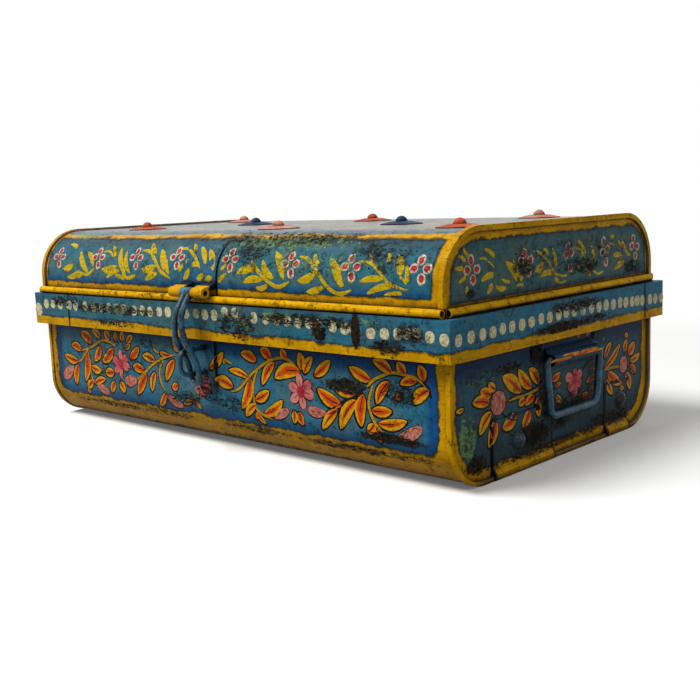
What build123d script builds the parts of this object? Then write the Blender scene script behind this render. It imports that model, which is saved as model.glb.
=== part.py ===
from build123d import *
import os
from math import acos, asin, cos, hypot, pi, sin, sqrt, tan

# Small tin trunk. X runs along its length, -Y is the front with the hasp, +Z is up.
# The origin lies on the ground under the middle of the body. All sizes are in millimetres.

# Tin sheet and folds
TIN = 0.8  # thickness of the tin sheet
FOLD_GAP = 0.1  # air between two folded layers
RUN_GAP = 0.3  # air between pieces that move past each other
PIN_GAP = 0.06  # radial air between a pin and its hole

# Body
BODY_L = 459.0  # length over the end seams
BODY_W = 266.0  # depth over front and back walls
BODY_R = 35.0  # rolled lower edges
MOUTH_Z = 112.8  # top of the rolled mouth edge
WIRE_D = 2.8  # wire inside the mouth edge
END_INSET = 2.5  # end panels lie this far inside their seams
BODY_SEAM = 3.5  # width of the folded seam at each end
SEAM_STEP = 0.05  # the sheet is pressed in this far under the seam

# Lid
LID_RISE = 53.4  # top sheet above the band's top
LID_R = 38.0  # rolled upper edges
LID_STEP_W = 2.0  # lid walls stand outside the body walls
LID_STEP_L = 1.5  # lid ends stand inside the body ends
LID_INSET = 2.0  # end panels lie this far inside their seams
LID_SEAM = 4.0  # width of the folded seam
LID_SEAM_T = 2.0  # height of that seam above the sheet

# Band round the lid's lower edge
BAND_H = 27.4  # height of the band
BAND_AIR_W = 7.7  # air from body wall to band, front and back
BAND_AIR_L = 6.2  # air from body end to band
BAND_R = 5.0  # rounded corners of the back strip
HEM_H = 8.0  # folded lower edge
TAB_H = 10.0  # flange that stands inside the lid
LAP_IN_X = 48.5  # front end of the back strip, from the body's left end
LAP_IN_Y = 23.3  # its other end, from the back wall
LAP = 12.0  # overlap of the two strips
BEAD_D = 5.8  # tube bead above the band

# Hasp, its plate and its staple
HASP_X = -7.0  # middle of the hasp
HASP_ROD = 5.0  # rod of the hasp
HASP_EYE_L = 12.2  # length of its barrel on the pin
HASP_EYE_D = 8.0  # barrel and knuckles
HASP_NECK = 5.8  # spacing of the two rods at the neck
HASP_DROP = 70.0  # pin to the middle of the lower end
HASP_BOW = 11.8  # how far it bows outward
BOW_FROM = 0.24  # share of the drop at the bow's upper corner
BOW_TO = 0.48  # and at its lower corner
EYE_BEND = 0.79  # share of the drop at which the eye hangs straight below the pin
HASP_TIP_IN = 2.2  # lower end behind the pin
HASP_PIN_D = 4.0
PIN_OUT = 11.0  # pin in front of the lid wall
PIN_UP = 8.8  # pin above the band's top
KNUCKLE_L = 13.4
PLATE_UP = 35.0  # top of the hasp plate above the pin
PLATE_FOOT = 6.0  # foot of its flat part above the pin
PLATE_RIVET_X = 13.5  # rivets to either side of the hasp
PLATE_RIVET_UP = 22.0  # rivets above the pin
PLATE_CHAMFER = 3.0
STAPLE_ROD = 4.2
STAPLE_H = 19.0  # spacing of the staple's legs
STAPLE_OUT = 25.2  # reach of the staple in front of the wall
STAPLE_R = 7.0  # bend of the staple
STAPLE_AIR = 2.6  # staple above the hasp's lower end
STAPLE_SIDE = 0.7  # air beside the staple in the hasp
BACK_PLATE_W = 24.0
BACK_PLATE_H = 38.0
BACK_PLATE_UP = 20.0  # its top above the staple's middle

# Handles
HANDLE_Y = 9.0  # middle of each handle
BAIL_ROD = 5.2
BAIL_TOP = 74.0  # spacing of the legs at the pivot
BAIL_FOOT = 63.0  # spacing at the lower bar
BAIL_DROP = 40.0  # pivot to lower bar
BAIL_R = 7.0  # lower bends
BAIL_R_TOP = 4.0  # upper bends
BAIL_IN = 15.0  # how far each leg runs into the tube
PIVOT_Z = 72.0
PIVOT_OUT = 5.8  # pivot in front of the end panel
TUBE_WALL = 1.8  # rolled lower edge of the handle plate
TUBE_AIR = 1.2  # air from the tube's ends to the bends of the bail
HANDLE_W = 94.0
HANDLE_TOP = 26.0  # top of the plate above the pivot
HANDLE_FOOT = 3.0  # its lower corners above the pivot
HANDLE_BEND = 7.5  # where the plate turns out to the tube
HANDLE_RIVET_Y = 36.0
HANDLE_RIVET_UP = 9.0

# Straps on the lower edge of each end: wall it is measured from, near and far edge, boss, height of the boss
STRAPS = {"front": (-1, 46.0, 120.0, 77.4, 21.7), "back": (1, 36.0, 70.0, 46.6, 25.6)}
STRAP_H = 40.0
BOSS_D = 13.0
BOSS_H = 4.0

# Rosettes on the lid: side and distance in from that side, along X and then along Y, side 0 being the middle
ROSETTES = [
    (-1, 83, -1, 57),
    (0, 28, -1, 53),
    (1, 28, -1, 55),
    (-1, 140, 0, 0),
    (1, 128, 0, -20),
    (-1, 43, 1, 63),
    (0, 0, 1, 75),
    (1, 68, 1, 55),
]
ROSETTE_D = 33.0
ROSETTE_H = 2.4
ROSETTE_FLAT = 3.0  # flat ring round the dome
DOME_D = 9.6
DOME_H = 4.1

# Hinges
HINGE_IN = 79.5  # middle of each hinge from the body's end
HINGE_L = 34.0
HINGE_D = 6.0  # knuckles
HINGE_PIN_D = 3.0
HINGE_MID = 13.0  # middle knuckle, on the lid's leaf
HINGE_BELOW = 2.0  # pin below the band
LEAF_UP = 22.0
LEAF_DOWN = 40.0
LEAF_STEP = 6.0  # slanted part of the body's leaf

# Rivets
RIVET_D = 3.2
RIVET_HEAD_D = 6.4
RIVET_HEAD_H = 1.5
RIVET_TAIL_H = 0.9
RIVET_TAIL = 0.9  # radius of the tail, as a share of the shank's diameter

# Places that follow from the sizes above
layer = TIN + FOLD_GAP
body_x = BODY_L / 2
body_y = BODY_W / 2
floor_z = layer
panel_x = body_x - END_INSET
wire_r = WIRE_D / 2
roll_r = wire_r + FOLD_GAP + TIN
roll_z = MOUTH_Z - roll_r
seam_top = MOUTH_Z - 2 * roll_r - RUN_GAP

lid_x = body_x - LID_STEP_L
lid_y = body_y + LID_STEP_W
band_top = MOUTH_Z + RUN_GAP + TIN
band_low = band_top - BAND_H
band_x = body_x + BAND_AIR_L + TIN
band_y = body_y + BAND_AIR_W + TIN
lid_top = band_top + LID_RISE
bead_r = BEAD_D / 2
bead_z = band_top + FOLD_GAP + bead_r
rim_low = band_top + 2 * FOLD_GAP + BEAD_D

pin_y = -(lid_y + PIN_OUT)
pin_z = band_top + PIN_UP
end_z = pin_z - HASP_DROP
staple_low = end_z + HASP_ROD / 2 + STAPLE_AIR + STAPLE_ROD / 2
staple_high = staple_low + STAPLE_H
eye_half = STAPLE_ROD / 2 + STAPLE_SIDE + HASP_ROD / 2

pivot_x = panel_x + PIVOT_OUT
tube_bore = BAIL_ROD / 2 + PIN_GAP
tube_r = tube_bore + TUBE_WALL
bail_lean = (BAIL_TOP - BAIL_FOOT) / 2
tube_half = BAIL_TOP / 2 - BAIL_R_TOP * (bail_lean + hypot(bail_lean, BAIL_DROP)) / BAIL_DROP - TUBE_AIR

hinge_y = band_y + layer + HINGE_D / 2
hinge_z = band_low - HINGE_BELOW
hinge_x = body_x - HINGE_IN
lap_x = LAP_IN_X - body_x
lap_y = body_y - LAP_IN_Y


def trough(half, flat_z, open_z, radius):
    """Section of a bent sheet: flat side at flat_z with rolled edges, open side at open_z."""
    box = Pos(0, (open_z + flat_z) / 2) * Rectangle(2 * half, abs(open_z - flat_z))
    side = box.vertices().group_by(Axis.Y)[0 if flat_z < open_z else -1]
    return fillet(side, radius)


def body_section(out, top, extra=0):
    return trough(body_y + out, floor_z - out, top + extra, BODY_R + out)


def lid_section(out, low, extra=0):
    return trough(lid_y + out, lid_top + out, low - extra, LID_R + out)


def along_x(section, x0, x1):
    return Pos(x0, 0, 0) * extrude(Plane.YZ * section, x1 - x0)


def along_y(points, y0, y1):
    """A bar whose section is drawn in X and Z."""
    face = Plane(origin=(0, y0, 0), x_dir=(1, 0, 0), z_dir=(0, -1, 0)) * make_face(Polyline(*points, close=True))
    return extrude(face, -(y1 - y0))


def box(x0, x1, y0, y1, z0, z1):
    return Pos((x0 + x1) / 2, (y0 + y1) / 2, (z0 + z1) / 2) * Box(x1 - x0, y1 - y0, z1 - z0)


def rod_x(radius, x0, x1, y, z):
    return Pos((x0 + x1) / 2, y, z) * Rot(0, 90, 0) * Cylinder(radius, x1 - x0)


def rod_y(radius, y0, y1, x, z):
    return Pos(x, (y0 + y1) / 2, z) * Rot(90, 0, 0) * Cylinder(radius, y1 - y0)


def rounded(points, radii):
    """Edges through the points with an arc of the given radius at each inner point."""
    points = [Vector(*p) for p in points]
    edges, start = [], points[0]
    for before, corner, after, radius in zip(points, points[1:], points[2:], radii):
        a, b = (before - corner).normalized(), (after - corner).normalized()
        half = a.get_angle(b) / 2 * pi / 180
        reach = radius * cos(half) / sin(half)
        middle = corner + (a + b).normalized() * (radius / sin(half) - radius)
        edges += [Line(start, corner + a * reach), ThreePointArc(corner + a * reach, middle, corner + b * reach)]
        start = corner + b * reach
    return Wire(edges + [Line(start, points[-1])])


def swept(path, radius):
    return sweep(Plane(origin=path @ 0, z_dir=path % 0) * Circle(radius), path=path, is_frenet=True)


def rivet(grip, head_d=RIVET_HEAD_D, head_h=RIVET_HEAD_H, shank_d=RIVET_D):
    """A rivet along Z with its head above 0, its shank through grip and a flat tail below."""
    low, shank, tail = -grip - RIVET_TAIL_H, shank_d / 2, shank_d * RIVET_TAIL
    ball = (head_d * head_d / 4 + head_h * head_h) / (2 * head_h)
    half = acos((ball - head_h) / ball) / 2
    dome = ThreePointArc((head_d / 2, 0), (ball * sin(half), head_h - ball + ball * cos(half)), (0, head_h))
    rest = Polyline((0, head_h), (0, low), (tail, low), (tail, -grip), (shank, -grip), (shank, 0), (head_d / 2, 0))
    return revolve(Plane.XZ * make_face([dome, rest]), Axis.Z)


def rivet_hole(grip, shank_d=RIVET_D):
    return Pos(0, 0, -grip / 2) * Cylinder(shank_d / 2 + PIN_GAP, grip + 2 * TIN)


def placed(things, piece):
    return [spot * piece for spot in things]


def mirrored(piece):
    return mirror(piece, about=Plane.YZ)


# Body: one sheet makes front, floor and back; each end is folded over it
wrap = along_x(body_section(0, roll_z) - body_section(-TIN, roll_z, 1), -body_x + TIN, body_x - TIN)
roll_y = body_y - TIN + roll_r
roll_x = panel_x - TIN + roll_r
roll_end = body_x - BODY_SEAM - RUN_GAP
for side in (-1, 1):
    wrap += rod_x(roll_r, -roll_end, roll_end, side * roll_y, roll_z)
for side in (-1, 1):
    wrap -= rod_x(wire_r + FOLD_GAP, -roll_end, roll_end, side * roll_y, roll_z)

under_seam = along_x(
    body_section(layer, seam_top) - body_section(-SEAM_STEP, seam_top, 1), roll_end, body_x
)
wrap -= under_seam + mirrored(under_seam)

inner = body_section(-layer - TIN, seam_top, 1)
end_right = along_x(body_section(-layer, roll_z), panel_x - TIN, panel_x)
end_right += along_x(body_section(-layer, seam_top) - inner, panel_x - TIN, body_x)
end_right += along_x(body_section(layer, seam_top) - inner, body_x - TIN, body_x)
end_right += along_x(
    body_section(layer, seam_top) - body_section(FOLD_GAP, seam_top, 1), body_x - BODY_SEAM, body_x
)
roll_side = body_y - TIN - RUN_GAP
end_right += rod_y(roll_r, -roll_side, roll_side, roll_x, roll_z)
end_right -= rod_y(wire_r + FOLD_GAP, -roll_side, roll_side, roll_x, roll_z)

mouth_wires = [rod_x(wire_r, 1 - roll_end, roll_end - 1, side * roll_y, roll_z) for side in (-1, 1)]
mouth_wires += [rod_y(wire_r, 1 - roll_side, roll_side - 1, side * roll_x, roll_z) for side in (-1, 1)]

# Straps on the ends' lower edge: flat on the panel, stepped over the seam
seam_in = floor_z + layer + TIN + FOLD_GAP
strap_line = [
    (panel_x, STRAP_H),
    (panel_x, seam_in + 3 * TIN + END_INSET),
    (body_x, seam_in + TIN),
    (body_x, RUN_GAP),
    (body_x + TIN, RUN_GAP),
    (body_x + TIN, seam_in + 2 * TIN),
    (panel_x + TIN, seam_in + 4 * TIN + END_INSET),
    (panel_x + TIN, STRAP_H),
]
straps, boss_spots = {}, []
boss_grip = 2 * TIN
for name, (side, near, far_edge, boss_in, boss_z) in STRAPS.items():
    y0, y1 = sorted((side * (body_y - near), side * (body_y - far_edge)))
    spot = Plane(origin=(panel_x + TIN, side * (body_y - boss_in), boss_z), z_dir=(1, 0, 0))
    boss_spots.append(spot)
    straps[name] = along_y(strap_line, y0, y1) - spot * rivet_hole(boss_grip)
    end_right -= spot * rivet_hole(boss_grip)
bosses = placed(boss_spots, rivet(boss_grip, BOSS_D, BOSS_H))

# Handle plate: flat on the panel, lower edge turned out and rolled into a tube
handle_flat = PIVOT_Z + HANDLE_BEND
handle = box(
    panel_x, panel_x + TIN, HANDLE_Y - HANDLE_W / 2, HANDLE_Y + HANDLE_W / 2, handle_flat, PIVOT_Z + HANDLE_TOP
)
ear = HANDLE_W / 2 - tube_half - 1
for edge in (HANDLE_Y - HANDLE_W / 2, HANDLE_Y + HANDLE_W / 2 - ear):
    handle += box(panel_x, panel_x + TIN, edge, edge + ear, PIVOT_Z + HANDLE_FOOT, handle_flat)
web = [
    (panel_x, handle_flat + TIN),
    (panel_x, handle_flat - TIN),
    (pivot_x - tube_r * 0.78, PIVOT_Z + tube_r * 0.6),
    (pivot_x - tube_r * 0.4, PIVOT_Z + tube_r * 0.9),
    (panel_x + TIN, handle_flat + TIN),
]
tube_ends = HANDLE_Y - tube_half, HANDLE_Y + tube_half
handle += along_y(web, *tube_ends)
handle += rod_y(tube_r, *tube_ends, pivot_x, PIVOT_Z)
handle -= rod_y(tube_bore, *tube_ends, pivot_x, PIVOT_Z)
handle_grip = 2 * TIN
handle_spots = [
    Plane(origin=(panel_x + TIN, HANDLE_Y + s * HANDLE_RIVET_Y, PIVOT_Z + HANDLE_RIVET_UP), z_dir=(1, 0, 0))
    for s in (-1, 1)
]
for spot in handle_spots:
    handle -= spot * rivet_hole(handle_grip)
    end_right -= spot * rivet_hole(handle_grip)
handle_rivets = placed(handle_spots, rivet(handle_grip))

# Bail: a rod bent to a loop, its two ends in the tube
bail_path = rounded(
    [
        (pivot_x, HANDLE_Y - BAIL_TOP / 2 + BAIL_IN, PIVOT_Z),
        (pivot_x, HANDLE_Y - BAIL_TOP / 2, PIVOT_Z),
        (pivot_x, HANDLE_Y - BAIL_FOOT / 2, PIVOT_Z - BAIL_DROP),
        (pivot_x, HANDLE_Y + BAIL_FOOT / 2, PIVOT_Z - BAIL_DROP),
        (pivot_x, HANDLE_Y + BAIL_TOP / 2, PIVOT_Z),
        (pivot_x, HANDLE_Y + BAIL_TOP / 2 - BAIL_IN, PIVOT_Z),
    ],
    (BAIL_R_TOP, BAIL_R, BAIL_R, BAIL_R_TOP),
)
bail = swept(bail_path, BAIL_ROD / 2)

# Staple and its backing plate on the front wall
staple_mid = (staple_low + staple_high) / 2
plate_face = -(body_y + TIN)
backing = box(
    HASP_X - BACK_PLATE_W / 2,
    HASP_X + BACK_PLATE_W / 2,
    plate_face,
    -body_y,
    staple_mid + BACK_PLATE_UP - BACK_PLATE_H,
    staple_mid + BACK_PLATE_UP,
)
leg_in = -body_y + TIN + RIVET_TAIL_H
leg_out = -(body_y + STAPLE_OUT)
staple = swept(
    rounded(
        [
            (HASP_X, leg_in, staple_low),
            (HASP_X, leg_out, staple_low),
            (HASP_X, leg_out, staple_high),
            (HASP_X, leg_in, staple_high),
        ],
        (STAPLE_R, STAPLE_R),
    ),
    STAPLE_ROD / 2,
)
for leg_z in (staple_low, staple_high):
    staple += rod_y(STAPLE_ROD * 0.8, -body_y + TIN, leg_in, HASP_X, leg_z)
    hole = rod_y(STAPLE_ROD / 2 + PIN_GAP, plate_face - 1, leg_in, HASP_X, leg_z)
    backing -= hole
    wrap -= hole

# Lid: one sheet makes front, top and back; each end is folded over it
lid_wrap = along_x(lid_section(0, band_top) - lid_section(-TIN, band_top, 1), -lid_x + TIN, lid_x - TIN)
lid_panel = lid_x - LID_INSET
lid_inner = lid_section(-layer - TIN, band_top, 1)
lid_cap = lid_section(-layer - TIN, rim_low, 1)
lid_end = along_x(lid_section(-layer, band_top), lid_panel - TIN, lid_panel)
lid_end += along_x(lid_section(-layer, band_top) - lid_inner, lid_panel - TIN, lid_x)
lid_end += along_x(lid_section(LID_SEAM_T, rim_low) - lid_cap, lid_x - TIN, lid_x)
lid_end += along_x(
    lid_section(LID_SEAM_T, rim_low) - lid_section(FOLD_GAP, rim_low, 1), lid_x - LID_SEAM, lid_x
)

# Tube bead that lies on the band, against the lid's walls
bead_y = lid_y + FOLD_GAP + bead_r
bead_x = lid_panel + FOLD_GAP + bead_r
bead_side = lid_y - layer - TIN - RUN_GAP
bead_bore = bead_r - TIN
bead_front = rod_x(bead_r, -lid_x, lid_x, -bead_y, bead_z) - rod_x(bead_bore, -lid_x, lid_x, -bead_y, bead_z)
bead_back = rod_x(bead_r, -lid_x, lid_x, bead_y, bead_z) - rod_x(bead_bore, -lid_x, lid_x, bead_y, bead_z)
bead_right = rod_y(bead_r, -bead_side, bead_side, bead_x, bead_z)
bead_right -= rod_y(bead_bore, -bead_side, bead_side, bead_x, bead_z)


def plan(out, z0, z1, radius=0):
    """A block with the band's outline, moved outward by out."""
    outline = Rectangle(2 * (band_x + out), 2 * (band_y + out))
    if radius:
        outline = fillet(outline.vertices(), radius + out)
    return Pos(0, 0, z0) * extrude(outline, z1 - z0)


# Band: two strips, the back one lapped outside the front one at both of its ends
tab_x, tab_y = lid_panel - TIN - FOLD_GAP, lid_y - TIN - FOLD_GAP
tab_top = band_top + TAB_H


def tab(inset, z0, z1):
    return box(inset - tab_x, tab_x - inset, inset - tab_y, tab_y - inset, z0, z1)


def strip(out, radius):
    """The whole ring of a strip: flange into the lid, skirt and folded lower edge."""
    ring = plan(out, band_top - TIN, band_top, radius) + tab(0, band_top, tab_top)
    ring -= tab(TIN, band_top - TIN - 1, tab_top + 1)
    ring += plan(out, band_low, band_top, radius) - plan(out - TIN, band_low, band_top, radius)
    ring += plan(out, band_low, band_low + TIN, radius) - plan(out - layer - TIN, band_low, band_low + TIN, radius)
    hem = plan(out - layer, band_low, band_low + HEM_H, radius)
    return ring + (hem - plan(out - layer - TIN, band_low, band_low + HEM_H, radius))


far = 2 * BODY_L
front_zone = box(lap_x, far, -far, lap_y, 0, far)
lap_zone = box(lap_x - LAP, far, -far, lap_y + LAP, band_low + layer, band_top - layer)
tongue = plan(0, band_low, band_top) - plan(-TIN, band_low, band_top)
band_front = (strip(0, 0) & front_zone) + (tongue & lap_zone)
under_lap = plan(FOLD_GAP / 2, band_low + layer - FOLD_GAP, band_top - layer + FOLD_GAP) & box(
    lap_x - LAP - FOLD_GAP, far, -far, lap_y + LAP + FOLD_GAP, 0, far
)
band_back = strip(layer, BAND_R - layer) - front_zone - under_lap

# Hasp plate: follows the lid over its roll, its foot turned out to two knuckles
eye_r = HASP_EYE_D / 2
knuckle_in = HASP_EYE_L / 2 + RUN_GAP
plate_half = knuckle_in + KNUCKLE_L
plate_y = -lid_y - TIN
foot = pin_z + PLATE_FOOT
plate_x = HASP_X - plate_half, HASP_X + plate_half
hasp_plate = along_x(lid_section(TIN, foot) - lid_section(0, foot, 1), *plate_x)
outline = box(*plate_x, plate_y, LID_R - lid_y, foot, pin_z + PLATE_UP)
hasp_plate &= chamfer(outline.edges().filter_by(Axis.Y).group_by(Axis.Z)[-1], PLATE_CHAMFER)
web = make_face(
    Polyline(
        (-lid_y, foot + 2 * TIN),
        (-lid_y, foot - TIN),
        (pin_y + eye_r * 0.3, pin_z + eye_r * 0.7),
        (pin_y - eye_r * 0.05, pin_z + eye_r * 0.97),
        (plate_y, foot + TIN),
        close=True,
    )
)
pin_bore = HASP_PIN_D / 2 + PIN_GAP
for x0 in (HASP_X - plate_half, HASP_X + knuckle_in):
    hasp_plate += along_x(web, x0, x0 + KNUCKLE_L)
    hasp_plate += rod_x(eye_r, x0, x0 + KNUCKLE_L, pin_y, pin_z)
    hasp_plate -= rod_x(pin_bore, x0, x0 + KNUCKLE_L, pin_y, pin_z)
plate_r, inner_r = LID_R + TIN, LID_R - TIN
# A flat tail rests on its rim inside the roll
tail_sag = inner_r - sqrt(inner_r**2 - (RIVET_D * RIVET_TAIL) ** 2)
plate_grip = 2 * TIN + tail_sag
plate_lean = asin((pin_z + PLATE_RIVET_UP - lid_top + LID_R) / plate_r)
rivet_y, rivet_z = LID_R - lid_y - plate_r * cos(plate_lean), lid_top - LID_R + plate_r * sin(plate_lean)
plate_spots = [
    Plane(origin=(HASP_X + s * PLATE_RIVET_X, rivet_y, rivet_z), z_dir=(0, -cos(plate_lean), sin(plate_lean)))
    for s in (-1, 1)
]
for spot in plate_spots:
    hasp_plate -= spot * rivet_hole(plate_grip)
    lid_wrap -= spot * rivet_hole(plate_grip)
plate_rivets = placed(plate_spots, rivet(plate_grip, head_h=RIVET_HEAD_H / 2))
recess = KNUCKLE_L / 3
hasp_pin = rod_x(HASP_PIN_D / 2, HASP_X - plate_half + 1, HASP_X + plate_half - recess, pin_y, pin_z)

# Hasp: a rod bent double, close at the neck and open to an eye round the staple
def rod_corners(side):
    """Corners of one rod from inside the barrel to the lower end: its neck, the bow's two corners and the eye."""
    neck, eye = side * HASP_NECK / 2, side * eye_half
    return [
        (HASP_X + neck, pin_y - eye_r * 0.25, pin_z - eye_r * 0.15),
        (HASP_X + neck, pin_y - HASP_BOW, pin_z - HASP_DROP * BOW_FROM),
        (HASP_X + eye, pin_y - HASP_BOW, pin_z - HASP_DROP * BOW_TO),
        (HASP_X + eye, pin_y, pin_z - HASP_DROP * EYE_BEND),
        (HASP_X + eye, pin_y + HASP_TIP_IN, pin_z - HASP_DROP),
    ]


def bend_radii(points, share=0.45):
    """For each corner of a bent rod, the largest bend that leaves a short run beside it."""
    radii = []
    for a, b, c in zip(points, points[1:], points[2:]):
        run_in, run_out = Vector(*b) - Vector(*a), Vector(*c) - Vector(*b)
        half_turn = run_in.get_angle(run_out) * pi / 360
        radii.append(share * min(run_in.length, run_out.length) / tan(half_turn))
    return radii


corners = rod_corners(-1) + rod_corners(1)[::-1]
hasp = swept(FilletPolyline(*corners, radius=bend_radii(corners)), HASP_ROD / 2)
hasp += rod_x(eye_r, HASP_X - HASP_EYE_L / 2, HASP_X + HASP_EYE_L / 2, pin_y, pin_z)
hasp -= rod_x(pin_bore, HASP_X - HASP_EYE_L / 2 - 1, HASP_X + HASP_EYE_L / 2 + 1, pin_y, pin_z)

# Rosettes: pressed discs on the lid, each held by a domed rivet
def inward(half, side, distance):
    """A place this far in from one side of the lid, or this far from its middle."""
    return side * (half - distance) if side else distance


rosette_r = ROSETTE_D / 2
rosette_hole = RIVET_D / 2 + PIN_GAP
flat_r = DOME_D / 2 + ROSETTE_FLAT
brim = make_face(
    Polyline(
        (rosette_hole, ROSETTE_H - TIN),
        (flat_r, ROSETTE_H - TIN),
        (rosette_r - TIN, 0),
        (rosette_r, 0),
        (rosette_r, TIN * 0.8),
        (flat_r + TIN * 0.4, ROSETTE_H),
        (rosette_hole, ROSETTE_H),
        close=True,
    )
)
rosette = revolve(Plane.XZ * brim, Axis.Z)
dome_grip = ROSETTE_H + TIN
dome_rivet = Pos(0, 0, ROSETTE_H) * rivet(dome_grip, DOME_D, DOME_H)
rosette_spots = [Pos(inward(lid_x, *row[:2]), inward(lid_y, *row[2:]), lid_top) for row in ROSETTES]
for spot in rosette_spots:
    lid_wrap -= spot * Pos(0, 0, -TIN / 2) * Cylinder(rosette_hole, 3 * TIN)

# Hinges at the back: the body's leaf has two knuckles, the lid's leaf one
hinge_r = HINGE_D / 2
leaf_in = hinge_y - hinge_r
hinge_bore = HINGE_PIN_D / 2 + PIN_GAP
side_l = (HINGE_L - HINGE_MID) / 2 - RUN_GAP
x_low, x_high = hinge_x - HINGE_L / 2, hinge_x + HINGE_L / 2
mid = hinge_x - HINGE_MID / 2, hinge_x + HINGE_MID / 2
leaf_cut = hinge_r + RUN_GAP

lid_leaf = box(x_low, x_high, leaf_in, leaf_in + TIN, hinge_z + leaf_cut + RUN_GAP, hinge_z + LEAF_UP)
lid_leaf += box(*mid, leaf_in, leaf_in + TIN, hinge_z, hinge_z + leaf_cut + RUN_GAP)
lid_leaf += rod_x(hinge_r, *mid, hinge_y, hinge_z)
lid_leaf -= rod_x(hinge_bore, *mid, hinge_y, hinge_z)

turn_z = hinge_z - leaf_cut - TIN
flat_z = turn_z - LEAF_STEP
body_leaf = box(x_low, x_high, body_y, body_y + TIN, hinge_z - LEAF_DOWN, flat_z)
slant = make_face(
    Polyline(
        (body_y, flat_z - TIN),
        (body_y + TIN, flat_z - TIN),
        (leaf_in + TIN, turn_z - TIN),
        (leaf_in + TIN, turn_z),
        (leaf_in, turn_z),
        (body_y, flat_z + TIN / 2),
        close=True,
    )
)
body_leaf += along_x(slant, x_low, x_high)
for x0 in (x_low, x_high - side_l):
    body_leaf += box(x0, x0 + side_l, leaf_in, leaf_in + TIN, turn_z - TIN / 2, hinge_z)
    body_leaf += rod_x(hinge_r, x0, x0 + side_l, hinge_y, hinge_z)
    body_leaf -= rod_x(hinge_bore, x0, x0 + side_l, hinge_y, hinge_z)
hinge_pin = rod_x(HINGE_PIN_D / 2, x_low - 1, x_high + 1, hinge_y, hinge_z)

leaf_grip = 2 * TIN
rivet_x = [hinge_x - HINGE_L / 4, hinge_x + HINGE_L / 4]
wall_z = (hinge_z - LEAF_DOWN + flat_z) / 2
upper_z = band_low + HEM_H + RIVET_HEAD_D / 2 + RUN_GAP
wall_spots = [Plane(origin=(x, body_y + TIN, wall_z), z_dir=(0, 1, 0)) for x in rivet_x]
band_spots = [Plane(origin=(x, leaf_in + TIN, upper_z), z_dir=(0, 1, 0)) for x in rivet_x]
for spot in wall_spots:
    body_leaf -= spot * rivet_hole(leaf_grip)
    wrap -= spot * rivet_hole(leaf_grip)
    wrap -= mirrored(spot * rivet_hole(leaf_grip))
for spot in band_spots:
    lid_leaf -= spot * rivet_hole(leaf_grip)
    band_back -= spot * rivet_hole(leaf_grip)
    band_back -= mirrored(spot * rivet_hole(leaf_grip))
wall_rivets = placed(wall_spots, rivet(leaf_grip))
band_rivets = placed(band_spots, rivet(leaf_grip))


def both(pieces):
    return list(pieces) + [mirrored(p) for p in pieces]


nodes = {
    "body_wrap": [wrap],
    "end_panel_right": [end_right],
    "end_panel_left": [mirrored(end_right)],
    "mouth_wires": mouth_wires,
    "end_strap_bosses": both(bosses),
    "handle_plate_right": [handle],
    "handle_plate_left": [mirrored(handle)],
    "handle_rivets": both(handle_rivets),
    "bail_right": [bail],
    "bail_left": [mirrored(bail)],
    "staple_plate": [backing],
    "hasp_staple": [staple],
    "lid_wrap": [lid_wrap],
    "lid_end_right": [lid_end],
    "lid_end_left": [mirrored(lid_end)],
    "lid_bead_front": [bead_front],
    "lid_bead_back": [bead_back],
    "lid_bead_right": [bead_right],
    "lid_bead_left": [mirrored(bead_right)],
    "lid_band_front": [band_front],
    "lid_band_back": [band_back],
    "hasp_plate": [hasp_plate],
    "hasp_plate_rivets": plate_rivets,
    "hasp_pin": [hasp_pin],
    "hasp": [hasp],
    "rosette_rivets": [spot * dome_rivet for spot in rosette_spots],
    "hinge_lid_leaf_right": [lid_leaf],
    "hinge_lid_leaf_left": [mirrored(lid_leaf)],
    "hinge_body_leaf_right": [body_leaf],
    "hinge_body_leaf_left": [mirrored(body_leaf)],
    "hinge_pins": both([hinge_pin]),
    "hinge_body_rivets": both(wall_rivets),
    "hinge_lid_rivets": both(band_rivets),
}
for name, strap in straps.items():
    nodes[f"end_strap_right_{name}"] = [strap]
    nodes[f"end_strap_left_{name}"] = [mirrored(strap)]
for number, spot in enumerate(rosette_spots, 1):
    nodes[f"rosette_{number}"] = [spot * rosette]

os.makedirs("parts", exist_ok=True)
for name, pieces in nodes.items():
    solids = [s for piece in pieces for s in piece.solids()]
    export_step(solids[0] if len(solids) == 1 else Compound(solids), f"parts/{name}.step")
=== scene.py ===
import collections
import math
import random

import bmesh
import bpy
from mathutils import Matrix, Vector


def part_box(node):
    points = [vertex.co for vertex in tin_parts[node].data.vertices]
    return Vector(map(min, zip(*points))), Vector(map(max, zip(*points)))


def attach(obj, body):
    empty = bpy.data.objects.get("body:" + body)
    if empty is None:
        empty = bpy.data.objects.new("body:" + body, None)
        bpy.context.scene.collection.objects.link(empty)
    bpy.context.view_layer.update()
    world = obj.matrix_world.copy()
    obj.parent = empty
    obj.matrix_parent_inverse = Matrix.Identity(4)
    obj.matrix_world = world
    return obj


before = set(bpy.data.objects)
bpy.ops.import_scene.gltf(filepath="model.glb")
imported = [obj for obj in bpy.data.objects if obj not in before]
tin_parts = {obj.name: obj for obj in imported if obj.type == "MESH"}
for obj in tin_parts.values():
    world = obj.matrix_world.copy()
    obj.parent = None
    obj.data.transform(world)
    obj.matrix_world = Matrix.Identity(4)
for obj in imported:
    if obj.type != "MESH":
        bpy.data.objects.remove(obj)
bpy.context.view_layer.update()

MM = 0.001
SOFT = {"interpolation_type": "SMOOTHSTEP"}  # eases a MapRange at both ends
X_AXIS, Y_AXIS = 0, 1

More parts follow.
